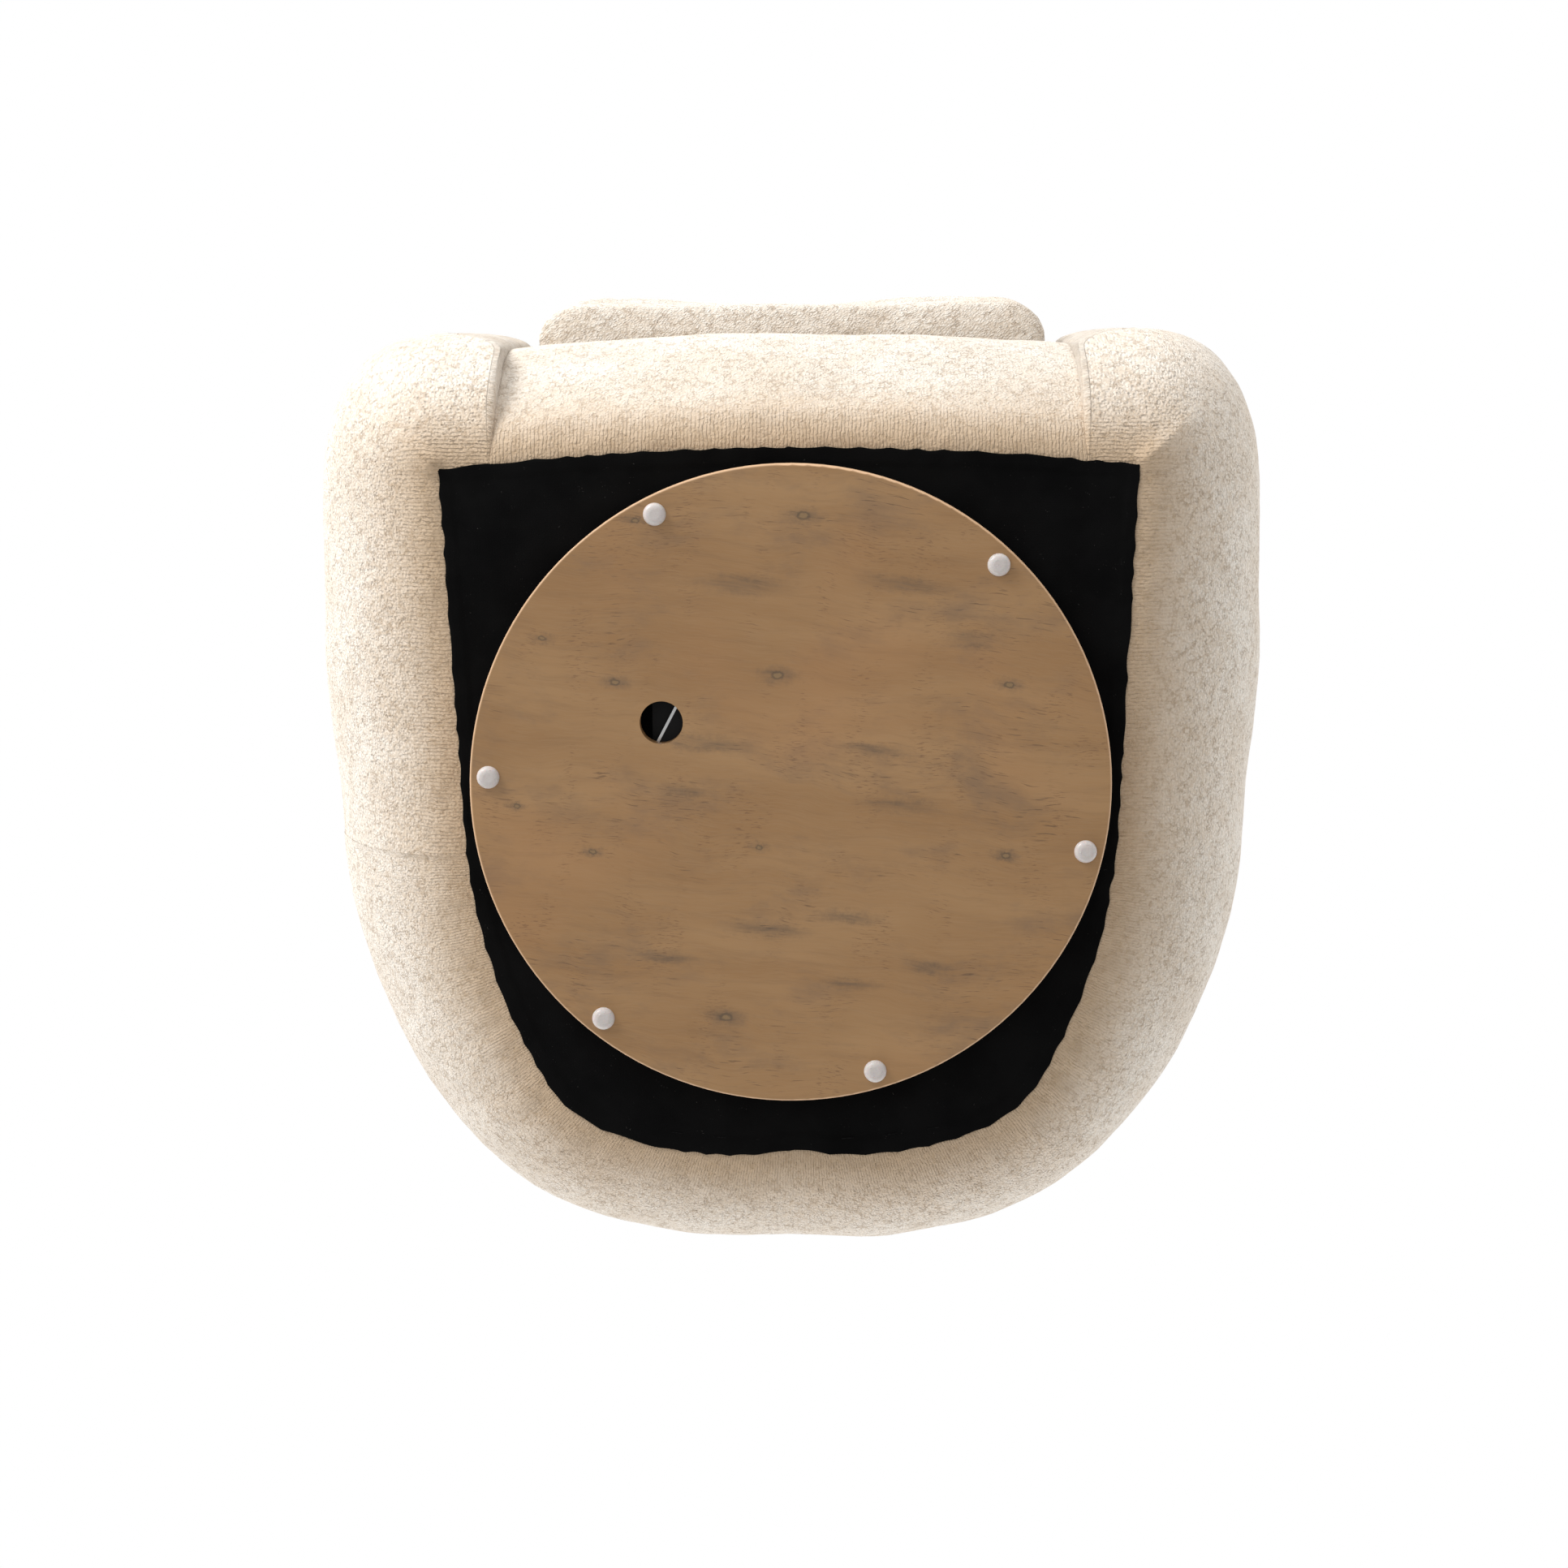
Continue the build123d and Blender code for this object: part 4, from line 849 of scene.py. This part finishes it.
def chenille(name):
    """Cream chenille: nubs in loose rows, with warm painted shade in the cracks and partings of the pile,
    painted shade towards the hem, and brushed lighter in places.
    """
    shade = Shade(name, roughness=0.9, Specular_IOR_Level=0.15, Sheen_Weight=0.2, Sheen_Roughness=0.45)
    shade.surface.inputs["Sheen Tint"].default_value = (1.0, 0.98, 0.94, 1)
    laid = shade.add("Attribute", attribute_name="cloth").outputs["Vector"]
    parts = shade.add("SeparateXYZ", {0: laid})
    hem = parts.outputs["Z"]
    body = shade.place()
    rows = shade.vector("MULTIPLY", laid, (1, 1, 0))
    bent = shade.vector("ADD", rows, shade.wander(body, 170.0, (0.0042, 0.0042, 0.0042)))
    nub_sockets = {"Vector": bent, "Scale": 400.0, "Smoothness": 0.25, "Randomness": 0.72}
    nubs = shade.add("TexVoronoi", nub_sockets, feature="SMOOTH_F1")
    nub = shade.ramp(nubs.outputs["Distance"], 0.10, 0.75, 1.0, 0.0)
    tufts = shade.noise(body, 190.0, 3.0, 0.6)
    rib_bend = shade.math("MULTIPLY", shade.noise(body, 70.0, 3.0), 0.0050)
    rib_place = shade.math("ADD", parts.outputs["X"], rib_bend)
    rib = shade.math("SINE", shade.math("MULTIPLY", rib_place, 2 * math.pi / RIB_PITCH))
    rib = shade.ramp(rib, -1.0, 0.4)
    rib = shade.math("MULTIPLY", rib, shade.ramp(shade.noise(body, 260.0, 2.0), 0.34, 0.52, 0.35, 1.0))
    rib_share = shade.ramp(hem, 0.34, 0.78, 0.0, 1.0)
    fuzz = shade.noise(body, 1500.0, 2.0, 0.6)
    ragged = shade.vector("ADD", bent, shade.wander(body, 420.0, (0.0050, 0.0050, 0.0050), roughness=0.7))
    ragged = shade.vector("MULTIPLY", ragged, (1.25, 0.8, 1))
    cell_sockets = {"Vector": ragged, "Scale": 150.0, "Randomness": 0.95}
    cells = shade.add("TexVoronoi", cell_sockets, feature="DISTANCE_TO_EDGE")
    parting = shade.ramp(cells.outputs["Distance"], 0.02, 0.12, 1.0, 0.0)
    parting = shade.math("MULTIPLY", parting, shade.ramp(shade.noise(body, 120.0, 3.0, 0.7), 0.44, 0.60))
    plain = shade.math("ADD", nub, shade.math("MULTIPLY", tufts, 0.8))
    ribbed = shade.math("ADD", shade.math("MULTIPLY", rib, 0.75), shade.math("MULTIPLY", nub, 0.45))
    ribbed = shade.math("ADD", ribbed, shade.math("MULTIPLY", tufts, 0.6))
    pile = shade.add("Mix", {0: rib_share, 2: plain, 3: ribbed}).outputs[0]
    brushed = shade.noise(body, 17.0, 3.0, 0.55, 0.6)
    crevice_shade = shade.ramp(pile, 0.30, 1.0, 1.0, 0.0)
    cream = shade.mix(shade.ramp(brushed, 0.32, 0.68), CREAM_DEEP, CREAM_PALE)
    cream = shade.mix(shade.ramp(nubs.outputs["Color"], 0.2, 0.8, 0.0, 0.18), cream, CREAM_NUB)
    # Painted shade: warm dark colour where the pile is low and where it parts.
    cream = shade.mix(shade.math("MULTIPLY", crevice_shade, 0.38), cream, CREAM_CRACK_SHADE)
    cream = shade.mix(shade.math("MULTIPLY", parting, 0.52), cream, CREAM_PARTING_SHADE)
    # Painted shade: the cloth darkens towards the hem, where it turns under against the dust cover.
    cream = shade.mix(shade.ramp(hem, 0.04, 0.94, 0.0, 0.86), cream, CREAM_PAINTED_SHADE_AT_HEM)
    pile = shade.math("SUBTRACT", pile, shade.math("MULTIPLY", parting, 0.35))
    soft = shade.bump(tufts, 0.0018, 0.5)
    rough = shade.bump(pile, 0.0011, 0.8, soft)
    return shade.put(Base_Color=cream, Normal=shade.bump(fuzz, 0.0003, 0.35, rough))


cream_chenille = chenille("cream_chenille")
for piece, covered in (
    (left_arm, ("arm_cover_left", "arm_foam_left")),
    (right_arm, ("arm_cover_right", "arm_foam_right")),
    (back, ("back_cover", "back_foam")),
):
    piece.data.materials.append(cream_chenille)
    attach(piece, "chair")
    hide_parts(*covered)

# ---------------------------------------------------------------------------------------------
# Front panel. A bulged pad between the arms, pulled under the front rail and over the seat rail,
# with its ends tucked into the creases beside the arms.
PANEL_HALF = 0.2480
PANEL_HEM_Y = -0.273
PANEL_BACK_Y = -0.262
PANEL_TOP_Z = 0.3215
PANEL_TUCK = 0.009
PANEL_COLUMNS = 240


def profile(points, counts):
    """A run of bends through corner points: (start, corner, end), as a flat list of places."""
    pieces = []
    for (start, corner, end), count in zip(points, counts):
        ends = (np.array([place]) for place in (start, corner, end))
        pieces.append(bend(*ends, count)[0])
    return np.concatenate(pieces)


panel_profile = profile(
    (
        ((PANEL_BACK_Y, 0.0362), (-0.268, 0.0362), (PANEL_HEM_Y, 0.0362)),
        ((PANEL_HEM_Y, 0.0362), (-0.2915, 0.0365), (-0.3055, 0.0580)),
        ((-0.3055, 0.0580), (-0.3520, 0.1400), (-0.3620, 0.2150)),
        ((-0.3620, 0.2150), (-0.3690, 0.2700), (-0.3600, 0.3020)),
        ((-0.3600, 0.3020), (-0.3540, PANEL_TOP_Z), (-0.3280, PANEL_TOP_Z)),
        ((-0.3280, PANEL_TOP_Z), (-0.3000, PANEL_TOP_Z), (PANEL_BACK_Y, PANEL_TOP_Z)),
        ((PANEL_BACK_Y, PANEL_TOP_Z), (PANEL_BACK_Y, 0.1800), (PANEL_BACK_Y, 0.0362)),
    ),
    (4, 40, 90, 60, 26, 16, 30),
)
panel_x = np.linspace(-1, 1, PANEL_COLUMNS)
panel_x = PANEL_HALF * (0.72 * panel_x + 0.28 * np.sin(panel_x * math.pi / 2))
rows = []
for x in panel_x:
    end = np.clip((PANEL_HALF - abs(x)) / PANEL_TUCK, 0, 1)
    tuck = 1 - math.sqrt(1 - (1 - end) ** 2)
    y_values = panel_profile[:, 0] + bow(x)
    z_values = panel_profile[:, 1]
    front = np.clip((PANEL_BACK_Y - panel_profile[:, 0]) / 0.03, 0, 1)
    y_values = y_values + front * tuck * 0.018
    z_values = z_values + (0.18 - z_values) * tuck * 0.045 * front
    rows.append(np.stack([np.full_like(y_values, x), y_values, z_values], axis=-1))
panel_grid = np.stack(rows)
panel_steps = np.linalg.norm(np.diff(panel_grid, axis=1, prepend=panel_grid[:, :1]), axis=-1)
panel_girth = np.cumsum(panel_steps, axis=1) - 0.011
panel_run = np.broadcast_to(panel_x[:, None], panel_girth.shape)
panel_lift = ripple(panel_grid, 11.0, 21.0) * 0.0020 + ripple(panel_grid, 30.0, 4.0) * 0.0009
gather_place = np.stack([panel_run / 0.024, panel_girth * 6, np.zeros_like(panel_run)], axis=-1)
panel_gather = ripple(gather_place, 1.0, 9.0) * np.exp(-np.clip(panel_girth, 0, None) / 0.035)
panel_lift += panel_gather * 0.0014 * smoothstep(0, 0.008, panel_girth)
panel_normals = -surface_normals(panel_grid)
panel_front = smoothstep(PANEL_BACK_Y - 0.004, PANEL_BACK_Y - 0.02, panel_grid[..., 1])
panel_grid = panel_grid + panel_normals * (panel_lift * panel_front)[..., None]
panel_hem = hem_nearness(panel_grid)
panel_cloth = np.stack([panel_run, panel_girth, panel_hem], axis=-1)
front_panel = closed_mesh("front_panel", panel_grid[::-1], panel_cloth[::-1])
front_panel.data.materials.append(cream_chenille)
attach(front_panel, "chair")
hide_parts("front_panel_cover", "front_panel_foam")

# ---------------------------------------------------------------------------------------------
# Seat cushion. A foam block in a boxed chenille cover, crowned by its own filling, loose on the
# deck between the arms, with its front edge proud of the panel.
CUSHION_HALF = 0.2335
CUSHION_FRONT = -0.400
CUSHION_BACK = 0.168
CUSHION_LOW = 0.3265
CUSHION_TOP = 0.447
CUSHION_FRONT_R = 0.046
CUSHION_BACK_R = 0.110
CUSHION_VOXEL = 0.0065
CUSHION_SWELL = 0.010
CUSHION_CALMING = 14


def rounded_plan(half, front, back_y, front_r, back_r, steps=14):
    """Plan of a cushion: a rectangle with round front corners and wide round back corners."""
    corners = (
        ((half - front_r, front + front_r), front_r, -90),
        ((half - back_r, back_y - back_r), back_r, 0),
        ((-half + back_r, back_y - back_r), back_r, 90),
        ((-half + front_r, front + front_r), front_r, 180),
    )
    places = []
    for (x, y), corner_r, start in corners:
        for step in range(steps + 1):
            turn = math.radians(start + 90 * step / steps)
            places.append((x + corner_r * math.cos(turn), y + corner_r * math.sin(turn)))
    return places


cushion_form = bmesh.new()
plan = rounded_plan(CUSHION_HALF, CUSHION_FRONT, CUSHION_BACK, CUSHION_FRONT_R, CUSHION_BACK_R)
low_ring = [cushion_form.verts.new((x, y, CUSHION_LOW)) for x, y in plan]
top_ring = [cushion_form.verts.new((x, y, CUSHION_TOP)) for x, y in plan]
cushion_form.faces.new(low_ring[::-1])
cushion_form.faces.new(top_ring)
for number in range(len(plan)):
    after = (number + 1) % len(plan)
    cushion_form.faces.new((low_ring[number], low_ring[after], top_ring[after], top_ring[number]))
bmesh.ops.bevel(
    cushion_form,
    geom=[edge for edge in cushion_form.edges if abs(edge.verts[0].co.z - edge.verts[1].co.z) < 1e-6],
    offset=0.026,
    segments=5,
    profile=0.5,
    affect="EDGES",
)
cushion_mesh = bpy.data.meshes.new("seat_cushion")
cushion_form.to_mesh(cushion_mesh)
cushion_form.free()
cushion = bring_in("seat_cushion", cushion_mesh)


def apply_modifiers(piece):
    """Turns a piece's modifiers into its mesh."""
    evaluated = piece.evaluated_get(bpy.context.evaluated_depsgraph_get())
    finished = bpy.data.meshes.new_from_object(evaluated)
    piece.modifiers.clear()
    old = piece.data
    piece.data = finished
    bpy.data.meshes.remove(old)


def mesh_points(mesh):
    """A mesh's points as an array."""
    flat = np.empty(len(mesh.vertices) * 3)
    mesh.vertices.foreach_get("co", flat)
    return flat.reshape(-1, 3)


remesh = cushion.modifiers.new("remesh", "REMESH")
remesh.mode = "VOXEL"
remesh.voxel_size = CUSHION_VOXEL
apply_modifiers(cushion)
before = mesh_points(cushion.data)
cloth = cushion.modifiers.new("cloth", "CLOTH")
cloth.settings.quality = 4
cloth.settings.mass = 0.3
cloth.settings.use_pressure = True
cloth.settings.uniform_pressure_force = 4.0
cloth.settings.tension_stiffness = 8.0
cloth.settings.compression_stiffness = 8.0
cloth.settings.shear_stiffness = 5.0
cloth.settings.bending_stiffness = 0.4
cloth.settings.effector_weights.gravity = 0.0
cloth.point_cache.frame_start = 1
cloth.point_cache.frame_end = 20
for number in range(1, 21):
    bpy.context.scene.frame_set(number)
apply_modifiers(cushion)
bpy.context.scene.frame_set(1)
after_points = mesh_points(cushion.data)
move = after_points - before
length = np.linalg.norm(move, axis=1, keepdims=True)
move *= np.minimum(1.0, CUSHION_SWELL / np.maximum(length, 1e-9))
sides = np.empty(len(cushion.data.edges) * 2, dtype=np.int32)
cushion.data.edges.foreach_get("vertices", sides)
sides = sides.reshape(-1, 2)
neighbours = np.bincount(sides.ravel(), minlength=len(before))[:, None]
for _ in range(CUSHION_CALMING):
    total = np.zeros_like(move)
    np.add.at(total, sides[:, 0], move[sides[:, 1]])
    np.add.at(total, sides[:, 1], move[sides[:, 0]])
    move = 0.4 * move + 0.6 * total / neighbours
points = before + move
cushion.data.vertices.foreach_set("co", points.ravel())
cushion.data.update()
refine = cushion.modifiers.new("refine", "SUBSURF")
refine.levels = 1
refine.render_levels = 1
apply_modifiers(cushion)
cushion.data.polygons.foreach_set("use_smooth", [True] * len(cushion.data.polygons))
points = mesh_points(cushion.data)
normals = np.empty(len(points) * 3)
cushion.data.vertices.foreach_get("normal", normals)
normals = normals.reshape(-1, 3)
centre_y = (CUSHION_FRONT + CUSHION_BACK) / 2
across = np.clip(1 - (points[:, 0] / CUSHION_HALF) ** 2, 0, 1)
along = np.clip(1 - ((points[:, 1] - centre_y) / (CUSHION_BACK - centre_y)) ** 2, 0, 1)
crown = 0.012 * np.sqrt(across * along) * smoothstep(0.40, 0.455, points[:, 2])
points[:, 2] += crown
points[:, 2] = np.maximum(points[:, 2], 0.3225)
proud = smoothstep(-0.345, -0.378, points[:, 1])
points[:, 0] *= 1 + 0.022 * proud
lift = ripple(points[None], 10.0, 31.0)[0] * 0.0020 + ripple(points[None], 30.0, 13.0)[0] * 0.0008
for seam_z in (CUSHION_LOW + 0.012, CUSHION_TOP - 0.010):
    flank = 1 - np.abs(normals[:, 2])
    lift -= 0.0022 * np.exp(-(((points[:, 2] - seam_z) / 0.0032) ** 2)) * smoothstep(0.05, 0.4, flank)
points += normals * lift[:, None]
cushion.data.vertices.foreach_set("co", points.ravel())
laid = cushion.data.attributes.new("cloth", "FLOAT_VECTOR", "POINT")
no_hem = np.zeros(len(points))
cushion_cloth = [points[:, 0] + points[:, 1] * 0.7, points[:, 2] - points[:, 1], no_hem]
laid.data.foreach_set("vector", np.stack(cushion_cloth, axis=-1).ravel())
cushion.data.update()
cushion.data.materials.clear()
cushion.data.materials.append(cream_chenille)
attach(cushion, "chair")
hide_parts("seat_cushion_cover", "seat_cushion_core")

# Its zip: two woven tapes and a nylon coil down the middle, let into the back boxing.
TAPE_PALE = (0.60, 0.53, 0.44, 1)
TAPE_DEEP = (0.45, 0.38, 0.30, 1)

zip_shade = Shade("zip_tape", roughness=0.7)
zip_axes = zip_shade.place()
zip_weave = zip_shade.add("TexWave", {"Vector": zip_axes, "Scale": 420.0}, bands_direction="DIAGONAL")
zip_weave = zip_weave.outputs["Fac"]
zip_z = zip_shade.add("SeparateXYZ", {0: zip_axes}).outputs["Z"]
zip_low, zip_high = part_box("cushion_zip")
from_coil = zip_shade.math("ABSOLUTE", zip_shade.math("SUBTRACT", zip_z, (zip_low.z + zip_high.z) / 2))
coil = zip_shade.ramp(from_coil, 0.0020, 0.0014)
teeth = zip_shade.add("TexWave", {"Vector": zip_axes, "Scale": 260.0}, bands_direction="X").outputs["Fac"]
zip_colour = zip_shade.mix(zip_shade.ramp(zip_weave, 0.2, 0.8, 0.0, 0.4), TAPE_PALE, TAPE_DEEP)
zip_height = zip_shade.math("ADD", zip_weave, zip_shade.math("MULTIPLY", teeth, coil))
zip_shade.put(
    Base_Color=zip_shade.mix(coil, zip_colour, (0.70, 0.66, 0.60, 1)),
    Normal=zip_shade.bump(zip_height, 0.0004, 0.7),
)
wear("cushion_zip", zip_shade.material)

# ---------------------------------------------------------------------------------------------
# Dust cover. Black spun cloth cut to the bottom outline, its edge folded under and stapled every
# few centimetres, so that the fold waves between the staples and the cloth sags a little.
HEM_IN = 0.0015
HEM_FOLD = 0.013
SHEET_T = 0.0005
SCALLOP = 0.0021
SCALLOP_PITCH = 0.027
SHEET_RINGS = 60
SHEET_SPOKES = 620
SHEET_LOW_Z = 0.0355

outline_step = np.linalg.norm(np.roll(outline, -1, axis=0) - outline, axis=1)
outline_run = np.concatenate([[0], np.cumsum(outline_step)])
closed_outline = np.vstack([outline, outline[:1]])
spoke_run = np.linspace(0, outline_run[-1], SHEET_SPOKES, endpoint=False)
edge_line = np.stack([np.interp(spoke_run, outline_run, closed_outline[:, axis]) for axis in (0, 1)], axis=-1)
tangent = np.roll(edge_line, -1, axis=0) - np.roll(edge_line, 1, axis=0)
tangent /= np.linalg.norm(tangent, axis=1, keepdims=True)
outward = np.stack([tangent[:, 1], -tangent[:, 0]], axis=-1)
wave_place = np.array([noise.noise(Vector((run * 11, 2.0, 0))) for run in spoke_run]) * 1.1
wave = np.abs(np.sin(math.pi * (spoke_run / SCALLOP_PITCH + wave_place)))
size_place = np.array([0.65 + 0.8 * noise.noise(Vector((run * 23, 9.0, 0))) for run in spoke_run])
edge_line = edge_line - outward * (HEM_IN + (SCALLOP * size_place * wave - 0.0012))[:, None]
ring_share = 1 - np.linspace(0, 1, SHEET_RINGS) ** 1.6
sheet_centre = np.array([0.0, 0.015])
sheet_grid = sheet_centre + ring_share[:, None, None] * (edge_line - sheet_centre)[None]
from_edge = (1 - ring_share)[:, None] * np.linalg.norm(edge_line - sheet_centre, axis=1)[None]
flat3 = np.concatenate([sheet_grid, np.zeros(sheet_grid.shape[:2] + (1,))], axis=-1)
slack = smoothstep(0.012, 0.050, from_edge) * smoothstep(0.115, 0.150, np.linalg.norm(sheet_grid, axis=-1))
sag = 0.0010 + 0.0016 * np.abs(ripple(flat3, 8.0, 6.0)) + 0.0007 * ripple(flat3, 34.0, 8.0)
sheet_z = SHEET_LOW_Z - slack * sag
spoke_place = np.broadcast_to(spoke_run[None], from_edge.shape)
pucker = ripple(np.stack([spoke_place * 38, from_edge * 9, from_edge * 0], axis=-1), 1.0, 2.0)
sheet_z = sheet_z - np.abs(pucker) * 0.0011 * np.exp(-from_edge / 0.030) * smoothstep(0, 0.003, from_edge)
sheet_z = sheet_z - 0.0006 * smoothstep(HEM_FOLD + 0.0012, HEM_FOLD - 0.0012, from_edge)
sheet_points = np.concatenate([sheet_grid, sheet_z[..., None]], axis=-1)
index = np.arange(SHEET_RINGS * SHEET_SPOKES).reshape(SHEET_RINGS, SHEET_SPOKES)[:-1]
count = SHEET_SPOKES
faces = []
for ring_number in range(SHEET_RINGS - 2):
    here = index[ring_number]
    faces += np.stack([here, here + count, np.roll(here, -1) + count, np.roll(here, -1)], axis=-1).tolist()
hub = (SHEET_RINGS - 1) * SHEET_SPOKES
last = index[-1].tolist()
faces += [(last[i], hub, last[(i + 1) % count]) for i in range(count)]
sheet_vertices = sheet_points[:-1].reshape(-1, 3).tolist() + [sheet_points[-1, 0].tolist()]
sheet_mesh = bpy.data.meshes.new("dust_cover_cloth")
sheet_mesh.from_pydata(sheet_vertices, [], faces)
sheet_mesh.polygons.foreach_set("use_smooth", [True] * len(sheet_mesh.polygons))
sheet_mesh.validate()
sheet_mesh.update()
dust_cover = bring_in("dust_cover_cloth", sheet_mesh)
thicken = dust_cover.modifiers.new("thicken", "SOLIDIFY")
thicken.thickness = SHEET_T
thicken.offset = -1.0
apply_modifiers(dust_cover)

SPUN_DEEP = (0.0028, 0.0028, 0.0030, 1)
SPUN_PALE = (0.0048, 0.0048, 0.0050, 1)

spun = Shade("black_spun_cloth", roughness=0.85, Specular_IOR_Level=0.05)
spun_axes = spun.place()
spun_fibre = spun.noise(spun_axes, 1400.0, 3.0, 0.7)
spun_dimples = spun.add("TexVoronoi", {"Vector": spun_axes, "Scale": 700.0, "Randomness": 0.4})
spun_dimples = spun_dimples.outputs["Distance"]
spun_cloud = spun.noise(spun_axes, 22.0, 3.0)
lint = spun.ramp(spun.noise(spun_axes, 420.0, 1.0, 0.3, 2.5), 0.795, 0.83)
spun_colour = spun.mix(spun.ramp(spun_cloud, 0.3, 0.7), SPUN_DEEP, SPUN_PALE)
spun_height = spun.math("ADD", spun.math("MULTIPLY", spun_fibre, 0.4), spun_dimples)
spun.put(
    Base_Color=spun.mix(spun.math("MULTIPLY", lint, 0.35), spun_colour, (0.20, 0.19, 0.18, 1)),
    Normal=spun.bump(spun_height, 0.00018, 0.6),
)
dust_cover.data.materials.append(spun.material)
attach(dust_cover, "chair")
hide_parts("dust_cover")

# Seat deck. A flat sheet of the same black cloth over the springs, stapled to the seat rails.
deck_low, deck_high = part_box("seat_deck_cloth")
deck_plan = rounded_plan(deck_high.x, deck_low.y, deck_high.y, 0.041, 0.109, 10)
deck_mid = np.array([0.0, (deck_low.y + deck_high.y) / 2])
DECK_RINGS = 24
deck_vertices = []
for ring_number in range(DECK_RINGS):
    share = 1 - ring_number / DECK_RINGS
    for x, y in deck_plan:
        place_x = deck_mid[0] + (x - deck_mid[0]) * share
        place_y = deck_mid[1] + (y - deck_mid[1]) * share
        rise = 0.0006 * noise.noise(Vector((place_x * 30, place_y * 30, 4.0)))
        deck_vertices.append((place_x, place_y, deck_high.z - 0.0008 + rise * (1 - share)))
deck_vertices.append((deck_mid[0], deck_mid[1], deck_high.z - 0.0008))
spokes = len(deck_plan)
deck_faces = []
for ring_number in range(DECK_RINGS - 1):
    for number in range(spokes):
        a = ring_number * spokes + number
        b = ring_number * spokes + (number + 1) % spokes
        deck_faces.append((a, b, b + spokes, a + spokes))
for number in range(spokes):
    a = (DECK_RINGS - 1) * spokes + number
    b = (DECK_RINGS - 1) * spokes + (number + 1) % spokes
    deck_faces.append((a, b, DECK_RINGS * spokes))
deck_mesh = bpy.data.meshes.new("seat_deck")
deck_mesh.from_pydata(deck_vertices, [], deck_faces)
deck_mesh.polygons.foreach_set("use_smooth", [True] * len(deck_mesh.polygons))
deck_mesh.update()
deck = bring_in("seat_deck", deck_mesh)
deck_thicken = deck.modifiers.new("thicken", "SOLIDIFY")
deck_thicken.thickness = 0.0006
apply_modifiers(deck)
deck.data.materials.append(spun.material)
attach(deck, "chair")
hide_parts("seat_deck_cloth")
